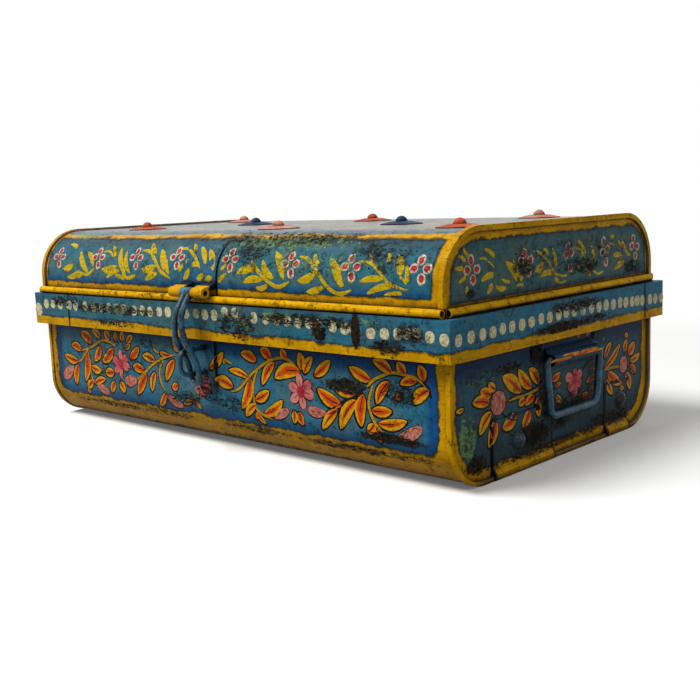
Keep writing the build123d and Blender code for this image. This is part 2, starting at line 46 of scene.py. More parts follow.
# Painted faces in millimetres, partly read from the parts in model.glb
TIN = 0.8
LID_RIM = 2.0  # the lid's end panels lie this far inside their seam rims
FRONT_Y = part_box("staple_plate")[1].y / MM
END_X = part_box("handle_plate_right")[0].x / MM
LID_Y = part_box("lid_wrap")[0].y / MM
LID_END_X = (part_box("lid_end_right")[1].x - LID_RIM * MM) / MM
BAND_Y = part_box("lid_band_front")[0].y / MM
BAND_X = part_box("lid_band_front")[1].x / MM
LAP_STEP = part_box("lid_band_back")[1].y / MM + BAND_Y  # the back strip lies over the front one
FRONT_LAP_X, END_LAP_Y = -181.0, 109.7  # where the back strip's two ends lie
BODY_ROLL, BODY_FLAT_Z = 35.0, 35.9  # rolled lower edge: its radius, and where the wall turns flat
LID_ROLL, LID_FLAT_Z, LID_FOOT_Z = 38.0, 129.3, 113.9  # rolled upper edge of the lid, and the wall's foot
HASP_PLATE = [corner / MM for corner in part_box("hasp_plate")]
HASP_PLATE_S = (15.0, 49.0)  # how far up the lid's sheet the plate lies
STAPLE_PLATE = [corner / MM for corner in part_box("staple_plate")]
PLATES_ON_END = [
    [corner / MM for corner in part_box(part)]
    for part in ("end_strap_right_front", "end_strap_right_back")
]
HANDLE_PLATE_Y, HANDLE_PLATE_Z = (-38.0, 56.0), (79.5, 98.0)
TUBE_X, TUBE_Z, TUBE_R = 232.8, 72.0, 4.46  # the tube that the bail turns in: its axis and radius
BODY_MIDDLE, LID_MIDDLE, BAND_MIDDLE = (0, 0, 60 * MM), (0, 0, 118 * MM), (0, 0, 100 * MM)


def paint(sheet):
    """sRGB hex colour as linear RGBA."""
    values = [int(sheet[i : i + 2], 16) / 255 for i in (1, 3, 5)]
    return [v / 12.92 if v <= 0.04045 else ((v + 0.055) / 1.055) ** 2.4 for v in values] + [1.0]


def add(tree, kind, values=None, **settings):
    """One shader node. values fills sockets by place or name: a node or socket is linked, the rest is set."""
    made = tree.nodes.new("ShaderNode" + kind)
    for key, value in settings.items():
        setattr(made, key, value)
    sockets = [s for s in made.inputs if s.enabled]
    for key, value in (values or {}).items():
        socket = sockets[key] if isinstance(key, int) else next(s for s in sockets if s.name == key)
        if isinstance(value, bpy.types.Node):
            value = next(s for s in value.outputs if s.enabled)
        if isinstance(value, bpy.types.NodeSocket):
            tree.links.new(value, socket)
        else:
            socket.default_value = paint(value) if isinstance(value, str) else value
    return made


def placed(name, data):
    """A new object in the scene."""
    made = bpy.data.objects.new(name, data)
    bpy.context.collection.objects.link(made)
    return made


# ---------- patterns, in millimetres of the trunk's own frame: wear runs on from piece to piece ----------


def tin_place(tree):
    """The point in millimetres, so a pattern's scale is 1 over the size of its marks in mm."""
    local = add(tree, "TexCoord").outputs["Object"]
    return add(tree, "VectorMath", {0: local, "Scale": 1 / MM}, operation="SCALE")


def blended(tree, share, low, high, a, b, most=1.0):
    """Colour a where share is under low, going to b where it is over high."""
    part = add(tree, "MapRange", {0: share, 1: low, 2: high, 3: 0.0, 4: most}, **SOFT)
    return add(tree, "Mix", {0: part, 1: a, 2: b}, data_type="RGBA")


def shaded(tree, colour, *steps):
    """The colour going over to others. Each step is (share, low, high, other colour, most)."""
    for share, low, high, other, most in steps:
        colour = blended(tree, share, low, high, colour, other, most)
    return colour


def worn_places(tree, spot, places):
    """Soft ellipsoids, each (middle, reach, strength). The strongest counts."""
    outer, inner = 1.15, 0.4  # in shares of the reach: nothing outside, full strength inside
    total = None
    for middle, reach, strength in places:
        off = add(tree, "VectorMath", {0: spot, 1: middle}, operation="SUBTRACT")
        share = add(tree, "VectorMath", {0: off, 1: reach}, operation="DIVIDE")
        far = add(tree, "VectorMath", {0: share}, operation="LENGTH")
        here = add(tree, "MapRange", {0: far, 1: outer, 2: inner, 3: 0.0, 4: strength}, **SOFT)
        total = here if total is None else add(tree, "Math", {0: total, 1: here}, operation="MAXIMUM")
    return total


# Painted fields inside their borders, in millimetres: middle, half size, corner, and how far the hand
# wobbled along the edge and over what length
BODY_FRONT_FIELD = ((0.5, 124.0), (218.5, 100.0), 12.0, 1.3, 16.0)
BODY_END_FIELD = ((-1.0, 110.0), (124.0, 99.0), 30.0, 1.6, 14.0)
LID_FRONT_FIELD = ((-2.0, 143.2), (219.5, 18.2), 1.5, 0.9, 18.0)
LID_TOP_FIELD = ((0.0, 0.0), (221.0, 111.5), 6.0, 2.0, 40.0)
LID_END_FIELD = ((2.0, 129.0), (129.0, 31.0), 28.0, 0.9, 16.0)
LID_END_FOOT_Z = 121.5  # the lid end's field is cut off level here
BAND_FIELD = ((0.0, 143.5), (400.0, 50.0), 1.0, 1.6, 22.0)


def field_edge(tree, spot, across, up, middle, half, corner, wobble, wave):
    """Millimetres from a painted field's hand-drawn edge, negative inside. The field has rounded corners."""
    sides = []
    for along, m, h in zip((across, up), middle, half):
        off = add(tree, "Math", {0: along, 1: m}, operation="SUBTRACT")
        size = add(tree, "Math", {0: off}, operation="ABSOLUTE")
        sides.append(add(tree, "Math", {0: size, 1: h - corner}, operation="SUBTRACT"))
    past = [add(tree, "Math", {0: s, 1: 0.0}, operation="MAXIMUM") for s in sides]
    pair = add(tree, "CombineXYZ", {0: past[0], 1: past[1]})
    far = add(tree, "VectorMath", {0: pair}, operation="LENGTH")
    within = add(tree, "Math", {0: sides[0], 1: sides[1]}, operation="MAXIMUM")
    within = add(tree, "Math", {0: within, 1: 0.0}, operation="MINIMUM")
    both = add(tree, "Math", {0: far, 1: within}, operation="ADD")
    both = add(tree, "Math", {0: both, 1: corner}, operation="SUBTRACT")
    hand_moves = add(tree, "TexNoise", {0: spot, "Scale": 1 / wave, "Detail": 3.0, "Roughness": 0.6})
    swing = add(tree, "MapRange", {0: hand_moves, 1: 0.3, 2: 0.7, 3: -wobble, 4: wobble})
    return add(tree, "Math", {0: both, 1: swing}, operation="ADD")


BRUSH_LONG, BRISTLE = 34.0, 1.1  # mm: a brush mark's length, and the width of its bristles


def bristles(tree, spot, along="x"):
    """Bristle marks, 0 to 1, along x and y or along z."""
    level = (BRUSH_LONG, BRUSH_LONG, BRISTLE) if along == "x" else (BRISTLE * 2, BRISTLE * 2, BRUSH_LONG)
    drawn = add(tree, "VectorMath", {0: spot, 1: level}, operation="DIVIDE")
    hairs = {"Scale": 1.0, "Detail": 4.0, "Roughness": 0.62, "Distortion": 0.3}
    return add(tree, "TexNoise", {0: drawn, **hairs})


# Where the paint has chipped down to dark iron, and where an older green coat shows:
# (middle, reach, strength), in millimetres
TRUNK_CHIPS = [
    ((140, -133, 63), (24, 8, 7), 0.9),
    ((186, -133, 62), (20, 8, 9), 0.6),
    ((178, -133, 31), (34, 8, 5), 0.85),
    ((-6, -133, 46), (20, 8, 16), 0.6),
    ((-36, -133, 36), (26, 8, 8), 0.5),
    ((20, -133, 37), (22, 8, 9), 0.55),
    ((-83, -133, 78), (12, 8, 7), 0.5),
    ((-60, -128, 20), (50, 10, 5), 0.5),
    ((48, -128, 20), (50, 10, 5), 0.5),
    ((227, -36, 22), (9, 26, 11), 1.0),
    ((227, -104, 14), (9, 16, 8), 0.85),
    ((227, -66, 73), (9, 24, 5), 0.75),
    ((227, -4, 24), (9, 20, 6), 0.75),
    ((227, -100, 72), (9, 20, 9), 0.4),
    ((-150, -127, 19), (70, 10, 4), 0.5),
    ((150, -127, 19), (80, 10, 4), 0.6),
    ((-10, -115, 6), (220, 16, 5), 0.5),
    ((-140, -133, 60), (60, 8, 30), 0.25),
    ((227, -10, 10), (9, 110, 4), 0.6),
    ((230, -34, 78), (14, 9, 10), 1.0),
    ((230, 48, 82), (14, 8, 8), 0.5),
    ((227, 20, 36), (9, 50, 10), 0.45),
    ((227, -22, 50), (9, 9, 22), 0.6),
    # these two ring the end straps' bosses: chipped paint, and also painted shade round the domes
    ((228, -56, 22), (9, 13, 11), 0.6),
    ((228, 86, 24), (9, 11, 10), 0.75),
    ((227, 70, 14), (9, 40, 8), 0.7),
    ((229, 0, 100), (6, 140, 20), 0.5),
    ((-60, 133, 40), (50, 8, 14), 0.6),
]
TRUNK_GREEN = [
    ((227, -113, 32), (9, 13, 20), 1.0),
    ((227, -98, 70), (9, 22, 10), 0.5),
    ((227, 52, 74), (9, 18, 6), 0.4),
    ((-170, 133, 60), (40, 8, 20), 0.6),
]
LID_CHIPS = [
    ((-118, -141, 104), (74, 12, 6), 0.62),
    ((-190, -141, 108), (40, 12, 6), 0.6),
    ((205, -141, 103), (14, 12, 8), 0.55),
    ((0, -138, 117), (230, 6, 4), 0.25),
    ((112, -141, 107), (70, 12, 6), 0.7),
    ((40, -141, 101), (30, 12, 14), 0.65),
    ((126, -141, 100), (9, 12, 8), 1.0),
    ((159, -141, 103), (4.5, 12, 14), 1.8),
    ((186, -141, 94), (18, 12, 6), 0.65),
    ((-112, -141, 93), (40, 12, 5), 0.6),
    ((236, 8, 108), (10, 44, 5), 0.7),
    ((236, -12, 95), (10, 46, 5), 1.0),
    ((236, 30, 96), (10, 30, 4), 0.75),
    ((70, -114, 160), (110, 14, 9), 0.5),
    ((48, -126, 152), (30, 16, 7), 0.55),
    ((170, -120, 152), (50, 16, 9), 0.5),
    ((226, -46, 139), (9, 20, 8), 0.6),
    ((226, 30, 134), (9, 34, 8), 0.65),
    ((226, 10, 144), (9, 110, 14), 0.3),
    ((120, -128, 144), (110, 14, 12), 0.32),
    ((226, 110, 128), (9, 20, 7), 0.6),
    ((226, -106, 126), (9, 6, 4), 0.8),
    ((60, 141, 100), (60, 12, 9), 0.6),
]
LID_GREEN = [
    ((48, -141, 101), (9, 12, 9), 1.0),
    ((84, -141, 109), (26, 12, 4), 0.9),
    ((171, -141, 109), (12, 12, 4), 0.8),
    ((120, -128, 146), (90, 14, 9), 0.6),
    ((226, 20, 140), (9, 100, 12), 0.5),
    ((0, -141, 107), (40, 12, 5), 0.6),
    ((-170, -141, 105), (16, 12, 5), 0.7),
    ((-112, -141, 105), (50, 12, 6), 0.85),
    ((78, -116, 158), (90, 16, 8), 1.0),
    ((-185, -112, 163), (26, 12, 5), 0.8),
    ((-80, -112, 163), (14, 12, 5), 0.6),
    ((110, 112, 160), (60, 14, 7), 0.7),
]
IRON_DARK, IRON_BROWN = "#0B0A08", "#2B2116"
OLD_GREEN, OLD_GREEN_DARK = "#7FA35C", "#4E6B4C"
CHIP_MM = 1.6  # chips and soot are drawn about twice as coarse as the real specks, which would not show
SOOT_MM, SPECK_MM, SMOKE_MM, CLOUD_MM, DENT_MM = 4.5, 5.5, 9, 26, 60
SEAM_DIRT_AND_SHADE_REACH = 6 * MM


def smoked_and_green(tree, spot, colour, film, green, grit, speck):
    """A brown film over the paint, and the older green coat where the new one has gone."""
    smoke = add(tree, "TexNoise", {0: spot, "Scale": 1 / SMOKE_MM, "Detail": 8.0, "Roughness": 0.8})
    smoke = add(tree, "MapRange", {0: smoke, 1: 0.42, 2: 0.68, 3: 0.0, 4: film}, **SOFT)
    colour = add(tree, "Mix", {0: smoke, 1: colour, 2: "#847F6E"}, data_type="RGBA", blend_type="MULTIPLY")
    old = add(tree, "Math", {0: worn_places(tree, spot, green), 1: 0.3, 2: speck}, operation="MULTIPLY_ADD")
    green_coat = blended(tree, grit, 0.4, 0.6, OLD_GREEN_DARK, OLD_GREEN)
    return blended(tree, old, 0.68, 0.78, colour, green_coat, 0.8)


def sooty(tree, spot, colour, clouds, places):
    """Black mottling, densest where the paint is worn."""
    soot = add(tree, "TexNoise", {0: spot, "Scale": 1 / SOOT_MM, "Detail": 8.0, "Roughness": 0.8})
    for more, share in ((clouds, 0.4), (places, 0.24)):
        soot = add(tree, "Math", {0: more, 1: share, 2: soot}, operation="MULTIPLY_ADD")
    return blended(tree, soot, 0.74, 0.88, colour, "#191A13", 0.78)


def chipped(tree, grit, clouds, places):
    """1 where a chip has bared the iron."""
    worn = grit
    for more, share in ((places, 0.26), (clouds, 0.16)):
        worn = add(tree, "Math", {0: more, 1: share, 2: worn}, operation="MULTIPLY_ADD")
    return add(tree, "MapRange", {0: worn, 1: 0.725, 2: 0.755}, **SOFT)


def seam_dirt_and_painted_shade(tree, colour, speck, seams):
    """Old dirt, and painted shade from ambient occlusion, where pieces of tin meet or close each other in."""
    # painted shade: the colour goes dark where ambient occlusion finds the tin closed in, mixed with dirt
    # specks
    seam = add(tree, "AmbientOcclusion", {"Distance": SEAM_DIRT_AND_SHADE_REACH}, samples=6)
    dirt_and_shade = add(tree, "Math", {0: speck, 1: 0.35, 2: seam.outputs["AO"]}, operation="MULTIPLY_ADD")
    return blended(tree, dirt_and_shade, *seams, colour, "#15110B", 0.94)


def dented_and_brushed(tree, spot, marks, bare, dent):
    """Shallow dents of the sheet, bristle marks on them, and the edges of chips."""
    relief = add(tree, "Math", {0: marks, 1: 0.5}, operation="MULTIPLY")
    relief = add(tree, "Math", {0: bare, 1: -0.9, 2: relief}, operation="MULTIPLY_ADD")
    dents = add(tree, "TexNoise", {0: spot, "Scale": 1 / DENT_MM, "Detail": 1.0})
    dented = add(tree, "Bump", {"Strength": 0.35, "Distance": dent * MM, "Height": dents})
    return add(tree, "Bump", {"Strength": 0.6, "Distance": 0.1 * MM, "Height": relief, "Normal": dented})


def aged(tree, spot, colour, marks, body, rough=0.42, film=0.6, level=0.05, dent=2.0, seams=(1.12, 0.8)):
    """Oil paint after decades of use: filmed, chipped, sooty, dirty and painted with shade in its seams, with
    a low uneven gloss.
    """
    chips, green = (TRUNK_CHIPS, TRUNK_GREEN) if body == "trunk" else (LID_CHIPS, LID_GREEN)
    long = add(tree, "VectorMath", {0: spot, 1: (0.4, 0.4, 1.0)}, operation="MULTIPLY")
    flakes = {"Scale": 1 / CHIP_MM, "Detail": 5.0, "Roughness": 0.72, "Distortion": 0.5}
    grit = add(tree, "TexNoise", {0: long, **flakes})
    clouds = add(tree, "TexNoise", {0: spot, "Scale": 1 / CLOUD_MM, "Detail": 3.0, "Roughness": 0.6})
    speck = add(tree, "TexNoise", {0: spot, "Scale": 1 / SPECK_MM, "Detail": 4.0, "Roughness": 0.7})
    places = worn_places(tree, spot, chips)
    bare = chipped(tree, grit, clouds, places)
    iron = blended(tree, speck, 0.42, 0.6, IRON_DARK, IRON_BROWN)

    colour = smoked_and_green(tree, spot, colour, film, green, grit, speck)
    colour = sooty(tree, spot, colour, clouds, places)
    colour = add(tree, "Mix", {0: bare, 1: colour, 2: iron}, data_type="RGBA")
    colour = seam_dirt_and_painted_shade(tree, colour, speck, seams)
    relief = dented_and_brushed(tree, spot, marks, bare, dent)
    gloss = add(tree, "MapRange", {0: grit, 1: 0.3, 2: 0.7, 3: rough - 0.06, 4: rough + 0.1})
    gloss = add(tree, "Math", {0: bare, 1: 0.35, 2: gloss}, operation="MULTIPLY_ADD")
    oil = {"Base Color": colour, "Roughness": gloss, "IOR": 1.48, "Specular IOR Level": level}
    return add(tree, "BsdfPrincipled", {**oil, "Normal": relief})


CRYSTAL_MM, RUST_GRAIN_MM, RUST_CLOUD_MM = 7, 9, 70


def dull_tinplate(tree, spot):
    """Hot-dipped tinplate gone dull: grey crystals a few millimetres wide, freckled with brown rust, with
    painted shade where other tin closes it in.
    """
    crystals = add(tree, "TexVoronoi", {0: spot, "Scale": 1 / CRYSTAL_MM})
    grain = add(tree, "TexNoise", {0: spot, "Scale": 1 / RUST_GRAIN_MM, "Detail": 6.0, "Roughness": 0.7})
    cloud = add(tree, "TexNoise", {0: spot, "Scale": 1 / RUST_CLOUD_MM, "Detail": 4.0, "Roughness": 0.6})
    rust = add(tree, "Math", {0: cloud, 1: 0.5, 2: grain}, operation="MULTIPLY_ADD")
    # painted shade: darker brown where ambient occlusion finds the tin closed in
    seam = add(tree, "AmbientOcclusion", {"Distance": SEAM_DIRT_AND_SHADE_REACH}, samples=6)
    colour = blended(tree, crystals.outputs["Color"], 0.1, 0.9, "#8F8D86", "#9A988F")
    colour = shaded(
        tree, colour,
        (cloud, 0.42, 0.62, "#7F786A", 1.0),
        (rust, 0.8, 0.94, "#5A3F28", 1.0),
        (seam.outputs["AO"], 0.85, 0.45, "#2A2016", 0.85),
    )
    shine = add(tree, "MapRange", {0: rust, 1: 0.7, 2: 0.92, 3: 0.8, 4: 0.1})
    rough = add(tree, "MapRange", {0: rust, 1: 0.65, 2: 0.9, 3: 0.42, 4: 0.75})
    bump = add(tree, "Bump", {"Strength": 0.4, "Distance": 0.1 * MM, "Height": grain})
    tinned = {"Base Color": colour, "Metallic": shine, "Roughness": rough, "Normal": bump}
    return add(tree, "BsdfPrincipled", tinned)


def new_material(name):
    made = bpy.data.materials.new(name)
    made.use_nodes = True
    made.node_tree.nodes.clear()
    return made, made.node_tree


def new_paint(name, along="x"):
    """A material to be painted: itself, its tree, the point in millimetres and the bristle marks there."""
    made, tree = new_material(name)
    spot = tin_place(tree)
    return made, tree, spot, bristles(tree, spot, along)


def painted_outside(tree, spot, outer, middle):
    """Paint on the sheet's outer face and bare tinplate on its inner one, by which way the face looks."""
    coords = add(tree, "TexCoord")
    off = add(tree, "VectorMath", {0: coords.outputs["Object"], 1: middle}, operation="SUBTRACT")
    side = add(tree, "VectorMath", {0: off, 1: coords.outputs["Normal"]}, operation="DOT_PRODUCT")
    inward = add(tree, "Math", {0: side.outputs["Value"], 1: 0.0}, operation="LESS_THAN")
    both = add(tree, "MixShader", {0: inward, 1: outer, 2: dull_tinplate(tree, spot)})
    add(tree, "OutputMaterial", {0: both})


def yellow_coat(tree, spot, marks):
    """Ochre oil paint laid with a flat brush: bristle marks of a deeper and a paler yellow."""
    tone = add(tree, "TexNoise", {0: spot, "Scale": 1 / 18, "Detail": 4.0, "Roughness": 0.65})
    colour = blended(tree, tone, 0.34, 0.56, "#B88400", "#DDA400")
    return shaded(tree, colour, (marks, 0.44, 0.3, "#8A5A08", 0.55), (marks, 0.5, 0.8, "#ECBE14", 0.7))


def bordered(tree, spot, marks, edge, field):
    """A field inside its ochre border, with old dirt dark along the brushed join."""
    colour = blended(tree, edge, -0.35, 0.35, field, yellow_coat(tree, spot, marks))
    patch = add(tree, "TexNoise", {0: spot, "Scale": 1 / 8, "Detail": 5.0, "Roughness": 0.7})
    near = add(tree, "Math", {0: edge}, operation="ABSOLUTE")
    near = add(tree, "Math", {0: patch, 1: 5.0, 2: near}, operation="MULTIPLY_ADD")
    return blended(tree, near, 4.2, 2.4, colour, "#1D1A10", 0.85)


def blue_coat(tree, spot, marks, edge, tones, rim):
    """Blue oil paint scumbled over grey in the middle of a field, and left strong along its edge."""
    base, grey, strong = tones
    cloud = add(tree, "TexNoise", {0: spot, "Scale": 1 / 30, "Detail": 5.0, "Roughness": 0.65})
    return shaded(
        tree, base,
        (cloud, 0.4, 0.62, grey, 1.0),
        (edge, -rim, -0.5, strong, 0.8),
        (marks, 0.4, 0.85, "#5F8C92", 0.25),
        (marks, 0.5, 0.2, "#143A52", 0.3),
    )


GAP_PAST, GAP_LONG = 0.4, 40.0  # mm: the painted shadow's middle beyond the plate's edge, and how far down it runs


def plate_edge_painted_shadow(tree, colour, x, y, z, corner):
    """Painted shadow, near black, in the gap along a front plate's right edge, up to its corner."""
    off = add(tree, "Math", {0: x, 1: corner.x + GAP_PAST}, operation="SUBTRACT")
    gap = add(tree, "Math", {0: off}, operation="ABSOLUTE")
    above = add(tree, "Math", {0: z, 1: corner.z + 1.0}, operation="SUBTRACT")
    below = add(tree, "Math", {0: corner.z - GAP_LONG, 1: z}, operation="SUBTRACT")
    for past in (above, below, y):
        gap = add(tree, "Math", {0: gap, 1: past}, operation="MAXIMUM")
    return blended(tree, gap, 1.6, 0.8, colour, "#0E0C09", 0.95)


def strap_edge_painted_shadows(tree, colour, y, z):
    """Painted shadow, black, along both edges of the straps on an end, up to their tops."""
    gap = 9.0
    for low, high in PLATES_ON_END:
        for side in (low.y, high.y):
            off = add(tree, "Math", {0: y, 1: side}, operation="SUBTRACT")
            off = add(tree, "Math", {0: off}, operation="ABSOLUTE")
            gap = add(tree, "Math", {0: off, 1: gap}, operation="MINIMUM")
    above = add(tree, "Math", {0: z, 1: PLATES_ON_END[0][1].z + 1}, operation="SUBTRACT")
    gap = add(tree, "Math", {0: gap, 1: above}, operation="MAXIMUM")
    return blended(tree, gap, 2.0, 1.0, colour, "#060503")


def body_front_paint():
    """Brushed oil paint on the body's sheet: cobalt to teal field inside an ochre border, with painted shadow
    under the band and along the plate's edge, and painted shade on the roll under the foot.
    """
    made, tree, spot, marks = new_paint("brushed_oil_paint_body_front")
    x, y, z = add(tree, "SeparateXYZ", {0: spot}).outputs
    edge = field_edge(tree, spot, x, z, *BODY_FRONT_FIELD)
    leftward = add(tree, "MapRange", {0: x, 1: -70.0, 2: 40.0, 3: 9.0, 4: 0.0})
    lower = add(tree, "Math", {0: z, 1: leftward}, operation="SUBTRACT")  # starts higher on the left
    blue = shaded(
        tree, blue_coat(tree, spot, marks, edge, ("#2C7494", "#48707A", "#1C5A8A"), 5.0),
        (lower, 66.0, 81.0, "#0D4480", 0.85),  # cobalt towards the band, then dark navy under it
        # the dark navy under the band is partly the body's paint and partly painted shadow of the band
        (z, 79.0, 87.0, "#0B173E", 1.0),
        (z, 36.0, 26.0, "#14497C", 0.7),  # deeper along the foot, the left edge and the right edge
        (x, -206.0, -213.0, "#14386A", 0.8),
        (x, 207.0, 214.0, "#10488A", 0.8),
    )
    colour = bordered(tree, spot, marks, edge, blue)
    # painted shadow along the staple plate's right edge
    colour = plate_edge_painted_shadow(tree, colour, x, y, z, STAPLE_PLATE[1])
    # painted shade: the yellow darkens where the sheet rolls under, near black at the foot
    colour = shaded(tree, colour, (z, 18.0, 6.0, "#8A5A00", 0.4), (z, 9.0, 1.5, "#3A2C12", 0.85))
    painted_outside(tree, spot, aged(tree, spot, colour, marks, "trunk"), BODY_MIDDLE)
    return made


def body_end_paint():
    """Brushed oil paint on the body's ends and what is riveted there: slate blue in a thin ochre border, with
    painted shadow along the straps' edges.
    """
    made, tree, spot, marks = new_paint("brushed_oil_paint_body_end", "z")
    _, y, z = add(tree, "SeparateXYZ", {0: spot}).outputs
    edge = field_edge(tree, spot, y, z, *BODY_END_FIELD)
    blue = shaded(
        tree, blue_coat(tree, spot, marks, edge, ("#2B5566", "#3B4E52", "#1A3A56"), 6.0),
        (z, 64.0, 80.0, "#10294E", 0.9),
        (z, 42.0, 20.0, "#27343C", 0.6),
    )
    colour = strap_edge_painted_shadows(tree, bordered(tree, spot, marks, edge, blue), y, z)
    painted_outside(tree, spot, aged(tree, spot, colour, marks, "trunk"), BODY_MIDDLE)
    return made


LID_SEAMS = (1.04, 0.7)  # less dirt and painted shade in the lid's seams than in the body's
LID_TOP_Z = 162.5  # over this height the sheet counts as the lid's top


def lid_front_paint():
    """Brushed oil paint on the lid's sheet: cobalt field, ochre lines, painted shadow along the hasp plate's
    edge, and a glossier grey top, partly paint and partly painted reflection of the white background.
    """
    made, tree, spot, marks = new_paint("brushed_oil_paint_lid_front")
    x, y, z = add(tree, "SeparateXYZ", {0: spot}).outputs
    edge = field_edge(tree, spot, x, z, *LID_FRONT_FIELD)
    blue = shaded(
        tree, blue_coat(tree, spot, marks, edge, ("#2B697C", "#4A6C69", "#1C5776"), 5.0),
        (z, 150.0, 160.0, "#3A4C55", 0.7),
        (z, 134.0, 126.0, "#0C4E84", 0.7),
    )
    # painted shadow along the hasp plate's right edge
    colour = plate_edge_painted_shadow(tree, bordered(tree, spot, marks, edge, blue), x, y, z, HASP_PLATE[1])
    top = field_edge(tree, spot, x, y, *LID_TOP_FIELD)
    # painted reflection: the top's pale greys stand in for the white background mirrored at a grazing angle
    # over its paint
    top_paint_and_reflection = blue_coat(tree, spot, marks, top, ("#7E8685", "#9B8C7D", "#5E7784"), 20.0)
    above = add(tree, "Math", {0: z, 1: LID_TOP_Z}, operation="GREATER_THAN")
    on_top = add(tree, "MapRange", {0: top, 1: 0.35, 2: -0.35, 4: above})
    colour = add(tree, "Mix", {0: on_top, 1: colour, 2: top_paint_and_reflection}, data_type="RGBA")
    oil = aged(tree, spot, colour, marks, "lid", rough=0.3, seams=LID_SEAMS)
    painted_outside(tree, spot, oil, LID_MIDDLE)
    return made


def lid_end_paint():
    """Brushed oil paint on the lid's ends: blue field with round upper corners in an ochre border."""
    made, tree, spot, marks = new_paint("brushed_oil_paint_lid_end")
    _, y, z = add(tree, "SeparateXYZ", {0: spot}).outputs
    edge = field_edge(tree, spot, y, z, *LID_END_FIELD)
    low = add(tree, "Math", {0: LID_END_FOOT_Z, 1: z}, operation="SUBTRACT")
    edge = add(tree, "Math", {0: edge, 1: low}, operation="MAXIMUM")
    blue = blue_coat(tree, spot, marks, edge, ("#39646C", "#52665C", "#294F62"), 5.0)
    colour = bordered(tree, spot, marks, edge, blue)
    painted_outside(tree, spot, aged(tree, spot, colour, marks, "lid", seams=LID_SEAMS), LID_MIDDLE)
    return made


def band_paint():
    """Brushed oil paint on the band round the lid's edge: teal above an ochre strip."""
    made, tree, spot, marks = new_paint("brushed_oil_paint_band")
    x, _, z = add(tree, "SeparateXYZ", {0: spot}).outputs
    edge = field_edge(tree, spot, x, z, *BAND_FIELD)
    blue = blue_coat(tree, spot, marks, edge, ("#2B6A80", "#41666B", "#23637F"), 3.0)
    blue = blended(tree, x, 60.0, 230.0, blue, "#2B7CA4", 0.35)
    colour = bordered(tree, spot, marks, edge, blue)
    painted_outside(tree, spot, aged(tree, spot, colour, marks, "lid"), BAND_MIDDLE)
    return made


def bead_paint():
    """Brushed ochre oil paint on the rolled beads."""
    made, tree, spot, marks = new_paint("brushed_oil_paint_beads")
    colour = blended(tree, marks, 0.2, 0.6, yellow_coat(tree, spot, marks), "#F2B600", 0.7)
    add(tree, "OutputMaterial", {0: aged(tree, spot, colour, marks, "lid", seams=(0.86, 0.55))})
    return made


def painted_iron(name, body, tones, wear):
    """Forged iron under one thin coat of blue: rubbed dark where hands and the joints take it off."""
    made, tree, spot, marks = new_paint(name, "z")
    tone = add(tree, "TexNoise", {0: spot, "Scale": 1 / 11, "Detail": 5.0, "Roughness": 0.7})
    rub = add(tree, "TexNoise", {0: spot, "Scale": 1 / 4.5, "Detail": 6.0, "Roughness": 0.7})
    colour = blended(tree, tone, 0.4, 0.6, *tones)
    colour = blended(tree, rub, 1.05 - wear, 1.12 - wear, colour, "#1A1E1F")
    add(tree, "OutputMaterial", {0: aged(tree, spot, colour, marks, body, rough=0.34, level=0.3, dent=0.2)})
    return made


def hasp_plate_paint():
    """Brushed oil paint on the hasp plate: the lid's blue, painted shade near black in the bend, and ochre on
    the knuckles.
    """
    made, tree, spot, marks = new_paint("brushed_oil_paint_hasp_plate")
    _, y, z = add(tree, "SeparateXYZ", {0: spot}).outputs
    cloud = add(tree, "TexNoise", {0: spot, "Scale": 1 / 14, "Detail": 5.0, "Roughness": 0.65})
    colour = shaded(
        tree, "#2A6384",
        (cloud, 0.4, 0.62, "#42676F", 1.0),
        (z, 136.0, 130.0, "#10508E", 0.7),
        # painted shade: near black in the bend above the knuckles
        (z, 131.0, 128.5, "#16242B", 0.9),
        (y, -141.0, -142.5, yellow_coat(tree, spot, marks), 1.0),
    )
    add(tree, "OutputMaterial", {0: aged(tree, spot, colour, marks, "lid")})
    return made


def rosette_paint(tone_name, face, deep, pale):
    """Pressed tin disc in one oil colour, rubbed paler in streaks."""
    made, tree, spot, marks = new_paint(f"brushed_oil_paint_rosette_{tone_name}")
    tone = add(tree, "TexNoise", {0: spot, "Scale": 1 / 6, "Detail": 5.0, "Roughness": 0.7})
    colour = shaded(tree, face, (tone, 0.38, 0.62, deep, 1.0), (marks, 0.5, 0.75, pale, 1.0))
    add(tree, "OutputMaterial", {0: aged(tree, spot, colour, marks, "lid")})
    return made


PEACH_RIVETS, NAVY_RIVETS = (2, 6, 8), (4, 5)  # by their rosettes' numbers; the others are orange
RIVET_REACH = (12, 12, 12)


def rosette_middle(number):
    low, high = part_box(f"rosette_{number}")
    return tuple((low + high) / 2 / MM)


def rivet_paint():
    """Domed rivets of the rosettes, each in its rosette's oil colour."""
    made, tree, spot, marks = new_paint("brushed_oil_paint_rivets")
    tone = add(tree, "TexNoise", {0: spot, "Scale": 1 / 5, "Detail": 5.0, "Roughness": 0.7})
    colour = blended(tree, tone, 0.4, 0.62, "#C8603A", "#B84A24")
    for numbers, shade in ((PEACH_RIVETS, "#CF8E74"), (NAVY_RIVETS, "#26456B")):
        near = worn_places(tree, spot, [(rosette_middle(n), RIVET_REACH, 1.0) for n in numbers])
        colour = add(tree, "Mix", {0: near, 1: colour, 2: shade}, data_type="RGBA")
    add(tree, "OutputMaterial", {0: aged(tree, spot, colour, marks, "lid")})
    return made


def iron_wire():
    """Drawn iron wire and pins, unpainted: dull grey, brown with old rust."""
    made, tree = new_material("drawn_iron_wire")
    add(tree, "OutputMaterial", {0: dull_tinplate(tree, tin_place(tree))})
    return made


